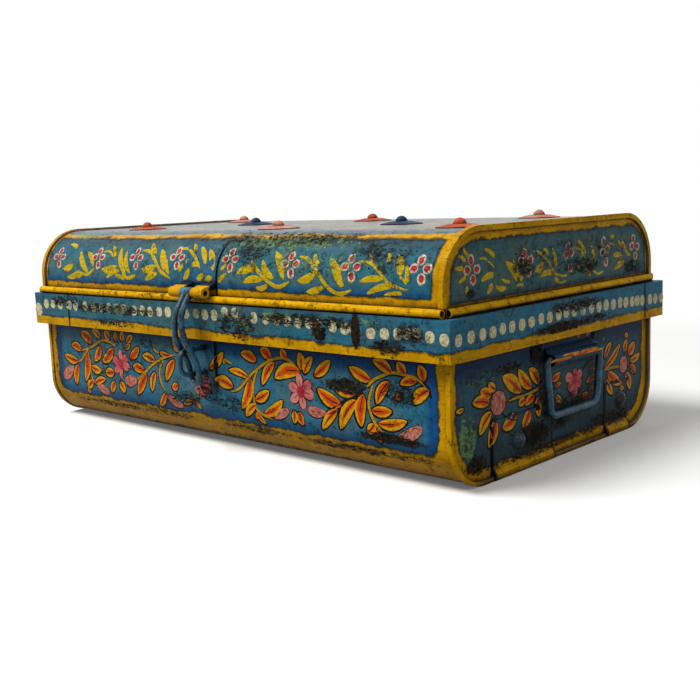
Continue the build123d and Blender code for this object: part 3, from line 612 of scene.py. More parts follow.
end_coat, front_coat, lid_coat = body_end_paint(), body_front_paint(), lid_front_paint()
lid_end_coat, band_coat, bead_coat = lid_end_paint(), band_paint(), bead_paint()
handle_coat = painted_iron("painted_iron_handles", "trunk", ("#2C6480", "#173F55"), 0.5)
hasp_coat = painted_iron("painted_iron_hasp", "lid", ("#347590", "#1B4B62"), 0.52)
hinge_coat = painted_iron("painted_iron_hinges", "trunk", ("#3A6C82", "#2A5268"), 0.5)
rivet_coat, wire = rivet_paint(), iron_wire()
rosette_coats = [
    rosette_paint("orange", "#C4552A", "#A8401A", "#D97A4A"),
    rosette_paint("peach", "#D08C74", "#B86F58", "#E0AC96"),
    rosette_paint("navy", "#1F3350", "#16233A", "#4A7396"),
    rosette_paint("brick", "#B8502F", "#9A3B1E", "#CF7A55"),
]
ROSETTE_ORDER = (0, 1, 0, 2, 2, 1, 3, 1)
COATS = [
    (front_coat, "body_wrap staple_plate"),
    (lid_coat, "lid_wrap"),
    (hasp_plate_paint(), "hasp_plate hasp_plate_rivets"),
    (band_coat, "lid_band_front lid_band_back"),
    (bead_coat, "lid_bead_front lid_bead_back lid_bead_right lid_bead_left"),
    (lid_end_coat, "lid_end_right lid_end_left"),
    (end_coat, "end_panel_right end_panel_left handle_plate_right handle_plate_left handle_rivets"),
    (end_coat, "end_strap_right_front end_strap_right_back end_strap_left_front end_strap_left_back"),
    (handle_coat, "bail_right bail_left hasp_staple"),
    (painted_iron("painted_iron_bosses", "trunk", ("#23618A", "#142C3A"), 0.56), "end_strap_bosses"),
    (hasp_coat, "hasp"),
    (hinge_coat, "hinge_lid_leaf_right hinge_lid_leaf_left hinge_body_leaf_right hinge_body_leaf_left"),
    (hinge_coat, "hinge_body_rivets hinge_lid_rivets"),
    (rivet_coat, "rosette_rivets"),
    (wire, "hasp_pin mouth_wires hinge_pins"),
] + [(rosette_coats[tone], f"rosette_{number}") for number, tone in enumerate(ROSETTE_ORDER, 1)]
for coat, names in COATS:
    for name in names.split():
        tin_parts[name].data.materials.clear()
        tin_parts[name].data.materials.append(coat)

# ---------- painted ornament: every brush stroke is a thin closed skin of paint on the tin ----------

PAINT_SINK = 0.12  # mm that a stroke reaches into the tin
FINEST_HALF = 0.16  # mm: half the width of the thinnest line that the brush draws
POINT_STATIONS = 5  # stations for each point of a long stroke
hand = random.Random(11)


def body_wall(x, z, lift):
    """A point on the body's wall, rolled under at the bottom. All faces take and give millimetres."""
    if z >= BODY_FLAT_Z:
        return x, FRONT_Y - lift, z
    turn = math.asin(min(1.0, (BODY_FLAT_Z - z) / BODY_ROLL))
    reach = BODY_ROLL + lift
    return x, FRONT_Y + BODY_ROLL - reach * math.cos(turn), BODY_FLAT_Z - reach * math.sin(turn)


def body_front(x, z, lift):
    low, high = STAPLE_PLATE
    on_plate = low.x < x < high.x and low.z < z < high.z
    return body_wall(x, z, lift + TIN if on_plate else lift)


def body_end(y, z, lift):
    for low, high in PLATES_ON_END:
        if low.y < y < high.y and z < high.z:
            lift += TIN
    if HANDLE_PLATE_Y[0] < y < HANDLE_PLATE_Y[1] and HANDLE_PLATE_Z[0] < z < HANDLE_PLATE_Z[1]:
        lift += TIN
    return END_X + lift, y, z


def handle_tube(y, turn, lift):
    """A point on the handle's tube, turn in degrees up from straight out."""
    reach, turn = TUBE_R + lift, math.radians(turn)
    return TUBE_X + reach * math.cos(turn), y, TUBE_Z + reach * math.sin(turn)


def lid_wall(x, s, lift):
    """A point on the lid's wall, s up the sheet from the wall's foot and over the roll."""
    if s < LID_FLAT_Z - LID_FOOT_Z:
        return x, LID_Y - lift, LID_FOOT_Z + s
    turn = (s - LID_FLAT_Z + LID_FOOT_Z) / LID_ROLL
    reach = LID_ROLL + lift
    return x, LID_Y + LID_ROLL - reach * math.cos(turn), LID_FLAT_Z + reach * math.sin(turn)


def lid_front(x, s, lift):
    on_plate = HASP_PLATE[0].x < x < HASP_PLATE[1].x and HASP_PLATE_S[0] < s < HASP_PLATE_S[1]
    return lid_wall(x, s, lift + TIN if on_plate else lift)


def lid_end(y, z, lift):
    return LID_END_X + lift, y, z


def band_front(x, z, lift):
    return x, BAND_Y - lift - (LAP_STEP if x < FRONT_LAP_X else 0.0), z


def band_right(y, z, lift):
    return BAND_X + lift + (LAP_STEP if y > END_LAP_Y else 0.0), y, z


def band_back(x, z, lift):
    return x, LAP_STEP - BAND_Y + lift, z


def band_left(y, z, lift):
    return -BAND_X - LAP_STEP - lift, y, z


def across_from(face, axis):
    """The same face on the trunk's other side."""

    def other(u, v, lift):
        point = list(face(u, v, lift))
        point[axis] = -point[axis]
        return point

    return other


def leaf_shape(t):
    """Breadth of a stroke at t along it, as a share of its width. A leaf is full near the middle."""
    return 3.98 * t**0.96 * (1 - t) ** 1.03


def petal_shape(t):
    return math.sin(math.pi * min(1.0, t**1.2)) ** 0.6


def round_shape(t):
    return math.sqrt(max(0.0, 1 - (2 * t - 1) ** 2))


def stem_shape(t):
    return min(1.0, 0.35 + 5 * t, 0.3 + 4 * (1 - t))


def comma_shape(t):
    """A loaded brush set down and pulled away."""
    return min(1.0, math.sin(math.pi * min(1.0, 0.12 + 0.88 * t**0.8)) ** 0.5)


def station(i, stations):
    """How far along a line its station i lies, 0 to 1. Stations crowd towards both ends to round them."""
    return (1 - math.cos(math.pi * i / (stations - 1))) / 2


def curved(points, stations):
    """Stations on a smooth line through the given points."""
    ends = [points[0], *points, points[-1]]
    line = []
    for i in range(stations):
        at = station(i, stations) * (len(points) - 1)
        k = min(int(at), len(points) - 2)
        t = at - k
        a, b, c, d = ends[k : k + 4]
        line.append(tuple(
            0.5 * (2 * q + (r - p) * t + (2 * p - 5 * q + 4 * r - s) * t * t + (3 * q - p - 3 * r + s) * t**3)
            for p, q, r, s in zip(a, b, c, d)
        ))
    return line


def bowed(u0, v0, u1, v1, bow):
    """Base, bulging middle and tip of one stroke."""
    du, dv = u1 - u0, v1 - v0
    return [(u0, v0), ((u0 + u1) / 2 - dv * bow, (v0 + v1) / 2 + du * bow), (u1, v1)]


def daub(u, v, du, dv):
    """The line of a round daub, reaching (du, dv) to both sides of (u, v)."""
    return [(u - du, v - dv), (u, v), (u + du, v + dv)]


class Coat:
    """All strokes of one paint on one body, as a single mesh."""

    COLUMNS = (-1.0, -0.55, 0.0, 0.55, 1.0)
    CROWN = 0.4  # share of a stroke's height that falls away from its middle to its sides
    RAGGED = (0.02, 0.05)  # how unsteady its two sides are, as shares of its width

    def __init__(self):
        self.points, self.faces, self.places, self.tones = [], [], [], []

    def stroke(self, face, points, width, shape, lift, stations=9, grow=0.0):
        """One stroke through the points, lift mm high, its sides moved out by grow."""
        line = curved(points, stations)
        first, columns = len(self.points), self.COLUMNS
        tone, ragged = hand.random(), hand.uniform(*self.RAGGED)
        row = len(columns) + 2
        for i, (u, v) in enumerate(line):
            t = station(i, stations)
            before, after = line[max(0, i - 1)], line[min(stations - 1, i + 1)]
            du, dv = after[0] - before[0], after[1] - before[1]
            far = math.hypot(du, dv) or 1.0
            half = max(FINEST_HALF, width / 2 * shape(t) * (1 + hand.uniform(-ragged, ragged))) + grow
            over = [(c, lift * (1 - self.CROWN + self.CROWN * (1 - c * c))) for c in columns]
            for c, height in [*over, (-1.0, -PAINT_SINK), (1.0, -PAINT_SINK)]:
                self.points.append(face(u - dv / far * half * c, v + du / far * half * c, height))
                self.places.append((t, (c + 1) / 2))
            self.tones += [tone] * row
            if i:
                a, b = first + (i - 1) * row, first + i * row
                left, right = row - 2, row - 1
                self.faces += [(a + k, a + k + 1, b + k + 1, b + k) for k in range(len(columns) - 1)]
                self.faces += [
                    (a, b, b + left, a + left),
                    (a + right, b + right, b + left - 1, a + left - 1),
                    (a + left, b + left, b + right, a + right),
                ]
        last = first + (stations - 1) * row
        for start in (first, last):
            self.faces.append((*range(start, start + len(columns)), start + row - 1, start + row - 2))

    def spread(self, name, body, material, slot):
        """Makes the coat's mesh and puts it on the body."""
        mesh = bpy.data.meshes.new(name)
        mesh.from_pydata([Vector(p) * MM for p in self.points], [], self.faces)
        tone = mesh.attributes.new("tone", "FLOAT", "POINT")
        tone.data.foreach_set("value", self.tones)
        laid = mesh.uv_layers.new(name="stroke")
        for loop in mesh.loops:
            laid.data[loop.index].uv = self.places[loop.vertex_index]
        turned = bmesh.new()
        turned.from_mesh(mesh)
        bmesh.ops.recalc_face_normals(turned, faces=turned.faces)
        turned.to_mesh(mesh)
        turned.free()
        mesh.materials.append(material)
        made = placed(name, mesh)
        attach(made, body)


leaves, leaf_outlines, midribs, stems = Coat(), Coat(), Coat(), Coat()
petals, petal_outlines, hearts, buds = Coat(), Coat(), Coat(), Coat()
lid_leaves, lid_petals, lid_hearts, band_dots = Coat(), Coat(), Coat(), Coat()

# Heights of the paint in mm over the tin: what was brushed later lies over what was there
STEM_SHADOW_LIFT, OUTLINE_LIFT, STEM_LIFT, DARK_STEM_LIFT, LID_STEM_LIFT = 0.07, 0.08, 0.12, 0.13, 0.13
LEAF_LIFT, PETAL_LIFT = (0.14, 0.2), (0.14, 0.18)
LID_PETAL_LIFT, DOT_LIFT, TUBE_LEAF_LIFT, BUD_LIFT, LID_LEAF_LIFT = 0.15, 0.15, 0.16, 0.17, 0.17
PETAL_RIB_LIFT, HEART_LIFT, BUD_MARK_LIFT, END_DARK_STEM_LIFT, MIDRIB_LIFT = 0.21, 0.24, 0.24, 0.25, 0.26


def leaf(face, u0, v0, u1, v1, width, bow=None):
    """Orange leaf with its black outline, which runs past it at both ends, and its midrib."""
    bow = hand.choice((-1, 1)) * hand.uniform(0.03, 0.1) if bow is None else bow
    width *= 1.08
    long = math.hypot(u1 - u0, v1 - v0)
    past, shade_u, shade_v = 1.1 / long, 0.2, 0.3
    du, dv = (u1 - u0) * past, (v1 - v0) * past
    under = bowed(u0 - du - shade_u, v0 - dv - shade_v, u1 + du - shade_u, v1 + dv - shade_v, bow)
    points = bowed(u0, v0, u1, v1, bow)
    leaf_outlines.stroke(face, under, width, leaf_shape, OUTLINE_LIFT, 11, hand.uniform(0.85, 1.25))
    leaves.stroke(face, points, width, leaf_shape, hand.uniform(*LEAF_LIFT), 11)
    if long > 8:
        rib = curved(points, 21)[hand.randint(2, 4) : hand.randint(13, 16)]
        midribs.stroke(face, rib[::4], 0.8, stem_shape, MIDRIB_LIFT, 7)


def bud(face, u0, v0, u1, v1, width):
    """Salmon bud, blunt at its tip, with two dark marks."""
    points = bowed(u0, v0, u1, v1, hand.uniform(-0.06, 0.06))
    under = [(u - 0.35, v - 0.35) for u, v in points]
    leaf_outlines.stroke(face, under, width, petal_shape, OUTLINE_LIFT, grow=0.75)
    buds.stroke(face, points, width, petal_shape, BUD_LIFT)
    du, dv = u1 - u0, v1 - v0
    for part in (0.3, 0.6):
        u, v = u0 + du * part, v0 + dv * part
        mark = bowed(u, v, u + du * 0.22, v + dv * 0.3, 0.3)
        midribs.stroke(face, mark, 0.5, stem_shape, BUD_MARK_LIFT, 5)


def flower(face, middle, petal_list, heart=4.3):
    """Pink flower with a crimson heart. Each petal is (degrees, length, width)."""
    u, v = middle
    for degrees, long, width in petal_list:
        du, dv = math.cos(math.radians(degrees)), math.sin(math.radians(degrees))
        points = bowed(u + du * 2.2, v + dv * 2.2, u + du * long, v + dv * long, hand.uniform(-0.05, 0.05))
        petal_outlines.stroke(face, points, width, petal_shape, OUTLINE_LIFT, grow=0.85)
        petals.stroke(face, points, width * 0.94, petal_shape, hand.uniform(*PETAL_LIFT))
        rib = bowed(u + du * 4, v + dv * 4, u + du * long * 0.7, v + dv * long * 0.7, 0.05)
        hearts.stroke(face, rib, 1.1, stem_shape, PETAL_RIB_LIFT, 5)
    hearts.stroke(face, daub(u, v, 0, heart), heart * 1.7, round_shape, HEART_LIFT)


def lid_flower(face, middle, offsets):
    """Four cream petals with red hearts."""
    for du, dv in offsets:
        far = math.hypot(du, dv)
        u, v, du, dv = middle[0] + du, middle[1] + dv, du / far, dv / far
        size = hand.uniform(3.5, 4.1)
        petal = daub(u, v, du * size, dv * size)
        lid_petals.stroke(face, petal, hand.uniform(6.2, 6.9), round_shape, LID_PETAL_LIFT)
        heart = daub(u - du * 0.4, v - dv * 0.4, du * 2.5, dv * 2.5)
        lid_hearts.stroke(face, heart, hand.uniform(3.6, 4.3), round_shape, HEART_LIFT)


def lid_leaf(face, u0, v0, u1, v1, width, bow=None):
    """Ochre stroke with no outline: a leaf, or a comma where it is narrow."""
    bow = hand.choice((-1, 1)) * hand.uniform(0.04, 0.12) if bow is None else bow
    shape = leaf_shape if width > 5 else comma_shape
    lid_leaves.stroke(face, bowed(u0, v0, u1, v1, bow), width * 0.88, shape, LID_LEAF_LIFT)


# Body front, (x, z) in mm. A leaf is base, tip, width and, if it is strongly bowed, its bow.
FRONT_LEAVES = [
    (41.8, 59.7, 19.5, 63.5, 5.4), (51, 72.8, 34.2, 77.4, 7.7), (67.2, 75.8, 55.7, 82, 7.7),
    (83.4, 77.4, 78, 84, 6), (98, 70.5, 96.5, 82.8, 7.7), (101, 68.2, 109.5, 80.5, 7),
    (111, 67.4, 126.5, 79.7, 7.7), (96.5, 69.2, 70.3, 62, 10.5, -0.12), (70.3, 73.5, 56.5, 55.4, 7),
    (44.2, 59, 32.6, 35, 9), (23.4, 50.8, 3.4, 55, 9), (48, 43.5, 63.4, 51.7, 7.5),
    (57.2, 33.8, 77.2, 46.2, 8), (48, 39.7, 36.5, 29.7, 6.5), (51.8, 34.3, 47.5, 29, 4),
    (50.3, 32.8, 57.2, 26.2, 4), (88.8, 40, 88, 30.5, 5.5), (94.2, 39.7, 97.7, 30.5, 6.5),
    (163.4, 69, 144.2, 76.6, 7.7), (181.8, 75.8, 165.7, 82.8, 7.7), (193.4, 75.8, 187, 83.5, 7),
    (208, 72.8, 204.5, 82.8, 7), (212.6, 67.4, 199.5, 57, 8.5), (179.5, 69.7, 168, 53.5, 7.7),
    (202.6, 72, 188.8, 69, 5.5), (189.5, 62.8, 185, 59, 4.5), (149.5, 58, 130.3, 59.7, 6),
    (135.7, 49, 113.4, 58.5, 9.5), (149.5, 54.3, 134.2, 32.3, 9), (156.5, 59, 153.7, 36.3, 9),
    (131.8, 45.8, 116.5, 30, 7), (131, 45.4, 121, 41, 4.5), (163.4, 48.6, 181, 50, 7),
    (168.8, 40.5, 193.7, 45, 7.5), (165.4, 39.7, 158.8, 33.2, 7), (168, 36.6, 170.3, 27, 4.5),
    (-2, 62.8, 14.2, 77, 7), (-161.2, 72, -178.2, 80, 9), (-148.2, 76.6, -160.5, 82.8, 7),
    (-134.3, 76.6, -141.2, 84, 7), (-124, 75.8, -125.8, 83.5, 5.5), (-116.3, 75.8, -114.8, 84.3, 5.5),
    (-109.7, 75, -101, 81.5, 5.5), (-112.8, 69.7, -105, 73.8, 4), (-179, 63.8, -194.3, 67.4, 7),
    (-185.8, 53.5, -207, 57.8, 7.5), (-169.7, 62, -175.8, 36.3, 9), (-185.8, 50.5, -191.2, 31.7, 7.7),
    (-149, 69.7, -159.7, 55.8, 7.7), (-130.5, 69, -147.7, 56.3, 8.5), (-165.8, 50.5, -150.2, 48, 7),
    (-131.2, 47.4, -144, 46, 7.7), (-162, 35.4, -144.6, 41.2, 6), (-164.3, 37.4, -173.8, 30.5, 7),
    (-171.2, 29.7, -174.3, 25.5, 4), (-130.5, 40, -137, 30, 6.5), (-123.5, 40.5, -117.8, 31.7, 7),
    (-106.6, 62.8, -93.2, 72.8, 7), (-72.3, 62.8, -89, 66, 7), (-87.7, 53.2, -103.5, 55.8, 7.7),
    (-52.8, 69, -65, 70.8, 4.5), (-37.4, 73.2, -48, 81.5, 8.5), (-85, 50.5, -98.5, 32.3, 8.5),
    (-72.8, 53.5, -78.5, 37, 7), (-46.6, 65.8, -58.5, 47.7, 7.7), (-60.5, 37.8, -70.8, 25.5, 5.5),
    (-43.5, 45, -51.2, 42, 6), (-27, 33.8, -37.8, 30.8, 4.5), (-24.3, 35.4, -16.3, 28.6, 3),
]
FRONT_BUDS = [
    (68, 32, 83.4, 39.7, 7), (184.5, 32.3, 206, 42, 8.5), (121, 42, 102.6, 42.8, 7.7),
    (-193.5, 47.4, -210.8, 36.3, 11), (-158.5, 33.5, -141.5, 28.6, 8.5), (-98.5, 44.6, -116.3, 41.5, 10),
    (-60, 35.4, -39.4, 28.6, 7.7),
]
FRONT_STEMS = [
    [(21, 46.6), (31, 50.5), (42.6, 60.5), (55, 69), (67.2, 75), (79.5, 77.4), (88.8, 75), (96.5, 69)],
    [(53, 68), (47, 57), (46, 46), (49, 36.5), (56.5, 32.8), (65.5, 30.5)],
    [(159.5, 64), (166.5, 70), (174.5, 73.5), (182, 76), (193.4, 75.4), (204, 73.5), (211, 68)],
    [(165, 66), (161, 55), (162, 47.4), (166.5, 39.7), (172.6, 35)],
    [(-125.8, 70.5), (-133.5, 73.8), (-145.8, 75), (-158, 69.7), (-167.4, 66.6), (-179, 63.5)],
    [(-167.4, 66.6), (-174.3, 60.5), (-180.5, 55), (-185.8, 52.8)],
    [(-168.6, 62.8), (-168, 53.5), (-165.8, 41.2), (-162, 36)],
    [(-98.5, 45), (-87.4, 51.7), (-78.2, 58.2), (-65.8, 64.3), (-55, 68.2), (-45, 69.7)],
    [(-61.2, 64.3), (-66.6, 56.6), (-66.6, 47.4), (-61, 38.5)],
    [(14.2, 67.4), (15.5, 71), (23.4, 68.2)],
    [(-66.6, 69.7), (-72.5, 72), (-71.7, 76.6)],
]
DARK_STEMS = [
    [(124, 44), (135, 50.5), (145.7, 55.8), (153.4, 60.5), (159.5, 64.3)],
    [(204, 74.5), (211, 69), (214, 62)],
]
FRONT_FLOWERS = [
    ((96.5, 54.6), [(95, 13, 7), (38, 13, 8), (-7, 13, 9), (-78, 13, 7), (-143, 13, 7.5), (162, 12.5, 8)]),
    (
        (-120.5, 56.2),
        [(90, 13, 6), (36, 12.5, 8), (-11, 12.5, 9), (-93, 13, 5.5), (-142, 12, 7), (159, 12, 8)],
    ),
    ((-12, 49), [(95, 9, 6.5), (30, 10, 7), (-25, 10.5, 7), (-100, 11, 8), (-150, 12, 8)]),
]

# Body end, (y, z)
END_LEAVES = [
    (-86, 58, -98, 63, 7.5), (-81, 61, -89, 66.5, 6), (-88.5, 53, -107, 56, 8),
    (-86.5, 46.5, -100, 33.5, 8.5), (-82.5, 42, -90, 23, 8.5), (-116.5, 54, -125, 53.5, 3),
    (-51, 54, -73, 68, 10.5), (-38, 55, -54, 70, 8.5), (-29, 56, -41, 68.5, 8), (-58, 40, -75, 33.5, 9.5),
    (-41, 40, -51, 29, 8.5), (-34, 48, -46, 44, 6), (-29, 47, -30, 33, 7.5), (-27, 52, -22, 52, 4),
    (-46, 48, -54, 45, 6), (51, 49, 36, 46.5, 4.5), (59, 54, 41, 56, 3), (44, 33, 31, 39, 8),
    (48, 37, 40, 42.5, 6), (30.5, 29, 24, 34.5, 6), (-12, 56, 0, 60, 5), (-8, 50, 1, 52, 3),
    (-6, 44, 2, 38, 5), (-15, 47, -10, 38, 5), (64, 61, 73.5, 72, 5.5), (64, 53.5, 88, 69.5, 6),
    (68, 49.5, 89, 37.5, 8), (65.5, 44.5, 74.5, 31.5, 6.5), (86, 35, 92.5, 33, 3.5), (95, 61, 98.5, 71, 6),
    (97.5, 72, 98.5, 76.5, 4.5), (101, 59, 111, 67.5, 8), (104, 53.5, 120, 57, 5.5), (103.5, 49, 113, 42, 6),
    (97, 45, 104, 30, 7.5),
]
END_STEMS = [[(-70, 51), (-54, 51), (-34, 52), (-28, 53.5)], [(63, 52), (75, 52), (87, 51)]]
END_DARK_STEMS = [
    [(-71, 50), (-58, 52.5), (-44, 52.5), (-31, 54.5)],
    [(-83, 43), (-86, 34), (-87, 26)],
    [(-75, 44), (-66, 38), (-58, 36)],
    [(-28, 55), (-21, 60), (-17, 68)],
    [(-27, 51), (-21, 42), (-18, 32)],
    [(8, 47), (14, 41), (17, 34)],
    [(29, 56), (38, 61), (47, 63)],
    [(62, 53), (52, 57), (44, 58)],
    [(99, 50), (106, 46), (112, 42)],
]
END_DISCS = [((-78.2, 51.2), 16.5, 16), ((93.2, 52), 12, 13)]
END_FLOWERS = [
    ((19.5, 52.5), [(170, 13, 8), (88, 7, 6), (20, 11.5, 7.5), (-38, 11, 8), (-85, 14, 7), (-135, 12, 8)]),
]

# Handle: leaves on its plate, and strokes on its tube as (y, degrees up, length, width in degrees)
PLATE_LEAVES = [(13.4, 83, 13, 92, 4), (25, 82, 20.5, 88, 4), (-1, 83, -8, 87, 4), (35, 82, 41, 86, 3.5)]
TUBE_STROKES = [(-19, -12, 9, 34), (10, -4, 8, 30), (20, 10, 9, 30), (-4, 16, 7, 26), (30, -8, 7, 26)]

# Lid front, (x, up the sheet). Yellow strokes with no outline
LID_STROKES = [
    (-184.3, 42, -197.8, 46.2, 4.5), (-180.5, 25.8, -196, 22, 7), (-169.7, 21.2, -189.7, 14.8, 6),
    (-165.8, 18.2, -175, 15, 4), (-156.6, 19, -175.4, 39, 7), (-149, 24, -164.3, 38.2, 6),
    (-121.2, 34.3, -131.2, 44.6, 4), (-115.8, 25.8, -137, 23, 7.5), (-110.8, 22, -129.7, 15.4, 5.5),
    (-116.6, 18.2, -104, 14.8, 4), (-102, 18.5, -117.4, 42.5, 7), (-96.3, 20, -107.7, 40, 6),
    (-66.2, 37.4, -79, 48.2, 6), (-62, 27, -80.8, 24, 8), (-59.7, 21.2, -75.4, 15.4, 6.5),
    (-51.2, 23.5, -62, 42, 8), (-44.6, 21, -50.5, 33.5, 5.5), (-27.4, 29.7, -32, 23, 5.5),
    (-36, 42.5, -27.5, 41.5, 3), (18, 25.8, 22.3, 30.8, 3.5), (16.2, 16.3, 24.5, 22.8, 4),
    (55.7, 25.8, 35.7, 23.5, 8), (64.2, 19, 43, 17, 6.5), (69, 15.4, 57.2, 13.5, 4.5),
    (75.7, 20.5, 61, 34.3, 7), (86, 20, 71.5, 41.2, 8), (118, 31.2, 111.5, 40, 4.5),
    (117.2, 26.6, 100, 19.7, 7.5), (125.4, 16.3, 108.5, 12.3, 6), (141.8, 16.3, 127, 37, 8),
    (143, 17, 138.8, 29.7, 4.5), (166.5, 34, 161, 40.5, 2), (179.8, 34.3, 177.7, 41.2, 3.5),
    (178.8, 23, 157.7, 21, 5.5), (185, 19, 164.6, 13.2, 5), (194.2, 14.3, 179.2, 12.8, 3),
    (192.2, 25, 187, 40, 7.5), (192, 25, 198, 20, 2), (198, 21.2, 195.7, 32.8, 4),
]
LID_STEMS = [
    ([(-170.5, 19.7), (-158, 17.8), (-148, 23.5)], 2.5),
    ([(-139.7, 38.5), (-132, 39), (-123.5, 33.8)], 2),
    ([(-107.4, 20), (-99.7, 16.3), (-88.6, 19)], 3),
    ([(-86.2, 40.5), (-75, 39), (-64.3, 30.8), (-55, 22.8), (-42.5, 17.4)], 3),
    ([(48.8, 33.5), (59.5, 25), (70.3, 18.2), (81, 14.8), (92, 19)], 3),
    (
        [
            (97.2, 37.4), (105.7, 35.8), (115, 29), (122.6, 22),
            (130.3, 15.4), (138, 12.3), (144.2, 12.8), (150.6, 15),
        ],
        2.8,
    ),
    ([(154.6, 34.3), (165, 33.5), (175, 27), (184.2, 20), (199.5, 16.3)], 2.2),
]
PLATE_STROKES = [
    (-18.2, 40.5, -24, 46.6, 4), (-19, 25.8, -25, 16.6, 6), (-16.6, 29, -6.6, 27.4, 4.5),
    (0, 29, -12.8, 44.3, 6), (10, 24.3, -2, 42, 7), (1, 17.4, 9.5, 19, 6), (-9, 18.2, -1.2, 22, 6),
    (-20.5, 31.7, -24.9, 31.7, 5),
]
PLATE_STEM = [(-26, 41.3), (-20, 38), (-12.5, 33), (-6, 26)]
LID_FLOWERS = [
    (-205.5, 32.3), (-145, 32.8), (-91.2, 33.2), (-37.8, 34.3), (25.7, 33.8), (90.8, 31.2), (148.3, 30.2),
    (207.5, 30.2),
]
FLOWER_OFFSETS = [(-1, 6.3), (-5.5, 0.5), (5.5, 0.5), (2, -6.5)]

# Lid end, (y, z)
LID_END_STROKES = [
    (-107.5, 150.5, -112, 156, 3), (-110.5, 147.5, -118, 151, 3), (-113, 142.5, -121.5, 143, 3.5),
    (-110.5, 138, -118, 134.5, 3), (-109.5, 131.5, -110.5, 126, 3.5), (-78.5, 148, -90, 153.5, 3.5),
    (-87, 147, -95.5, 148, 2.2), (-79, 141, -87, 146, 1.5), (-80, 136.5, -93.5, 133.5, 5),
    (-81, 130, -87, 124.5, 5), (-66, 126.5, -78, 129, 4), (-52, 129.5, -66, 144, 7),
    (-46, 130, -57, 145, 4.5), (-61, 130, -71, 133, 2.5), (-45, 126.5, -54, 126.5, 2.2),
    (-13.5, 145, -19.5, 149.5, 3), (-20, 140, -31, 134.5, 7), (-8, 132, -24, 130, 5), (-3, 136, -8, 149, 5),
    (0, 124.5, -6, 127, 4), (11, 128.5, -1, 130, 2.2), (10, 124.5, 0, 124, 2.2), (37, 142, 26.5, 152.5, 4),
    (50.5, 135, 44, 148, 4.5), (45, 126, 37, 131, 4), (33, 133, 22, 134, 3), (80, 151.5, 74, 153, 3.5),
    (80, 146, 70, 149, 1.5), (96, 132, 80, 127, 6), (98, 142, 92, 148, 3), (92, 136, 78, 138, 5),
]
LID_END_STEMS = [
    ([(-32, 149), (-22, 146), (-12, 139), (-5, 131), (0, 130)], 2.2),
    ([(21, 147.5), (29, 146), (37, 139), (45, 130)], 2),
    ([(47, 129.5), (56, 126), (64, 127.5)], 1.8),
    ([(85, 149), (92, 145), (100, 139), (105, 136)], 2.5),
]
LID_END_FLOWERS = [
    ((-103, 141.5), [(-1.5, 6.5), (-5.5, 0), (5, 0), (0.5, -6.5)]),
    ((-41.5, 142.3), [(-2, 5.7), (-6, 0.7), (5.5, 0.7), (3, -7.3)]),
    ((14.2, 142.5), [(-1.2, 6), (-4.2, 0.5), (3.8, 2), (1.8, -9)]),
    ((66, 142.2), [(-2, 7.3), (-3.5, -0.7), (4, 1.3), (1.5, -8.2)]),
    ((112.3, 142.5), [(-1.8, 6.5), (-4.3, 0.5), (4.7, 0), (1.7, -7.5)]),
]

# Row of dots on the band: place along the front or the end, and height
FRONT_DOTS = [
    (-215.5, 104.5), (-204.6, 104.6), (-192.5, 104.8), (-179.7, 105), (-169.7, 105), (-154.6, 105),
    (-141.7, 105), (-130, 105), (-119.7, 105.2), (-108.2, 105), (-99, 105.2), (-84.3, 105), (-72.8, 105),
    (-63.5, 105), (-50.8, 105.4), (-39.7, 105.5), (-16.6, 105.8), (-5, 106), (5.7, 106), (16, 106),
    (28.8, 108.6), (39.5, 109), (60.3, 106), (72.6, 106), (83.4, 106), (95, 105.8), (105.7, 105.5),
    (116.5, 105.3), (125, 105), (138.8, 104.6), (149.5, 104.2), (157.2, 104), (172.6, 102.2), (184.2, 102.6),
    (195.2, 103), (202.2, 103.7), (210.8, 104), (221, 103), (232.3, 101.8),
]
END_DOTS = [
    (-133, 100.5), (-120, 101), (-108, 101.3), (-96.5, 101.6), (-85.3, 102), (-74.7, 102.2), (-63, 102.5),
    (-51.6, 102.8), (-39.8, 103.2), (-29, 103.5), (-17.5, 103.8), (-7.5, 104.7), (3.5, 104.4), (15.3, 104.2),
    (27.5, 104), (38.4, 103.8), (49, 103.5), (59.3, 103.2), (70.2, 103), (79, 102.8), (89, 102.4), (97, 102),
    (105.3, 101.6), (116.2, 101), (125.6, 100.5), (135.3, 100.2),
]
LONE_DOT = (-228.5, 98.8, 1.5)  # the bigger one below the row, near the left corner


STEM_WIDTH, END_STEM_WIDTH = 2.1, 2.0
DISC_RIM = 0.7  # mm of outline round a disc


def long_stroke(coat, face, line, width, lift):
    coat.stroke(face, line, width, stem_shape, lift, POINT_STATIONS * len(line))


def outlined_stems(face, lines, width, rim):
    """Ochre stems, each over a darker and wider stroke a little below and to the left."""
    for line in lines:
        long_stroke(leaf_outlines, face, [(u - 0.3, v - 0.4) for u, v in line], width + rim, STEM_SHADOW_LIFT)
        long_stroke(stems, face, line, width, STEM_LIFT)


def paint_body_front(face):
    outlined_stems(face, FRONT_STEMS, STEM_WIDTH, 1.3)
    for line in DARK_STEMS:
        long_stroke(leaf_outlines, face, line, 2.2, DARK_STEM_LIFT)
    for row in FRONT_LEAVES:
        leaf(face, *row)
    for row in FRONT_BUDS:
        bud(face, *row)
    for middle, rows in FRONT_FLOWERS:
        flower(face, middle, rows)


def paint_handle(face, tube):
    for row in PLATE_LEAVES:
        leaf(face, *row)
    for y, turn, long, width in TUBE_STROKES:
        line = [(y, turn), (y + long / 2, turn + 14), (y + long, turn + 6)]
        leaves.stroke(tube, line, width, leaf_shape, TUBE_LEAF_LIFT)


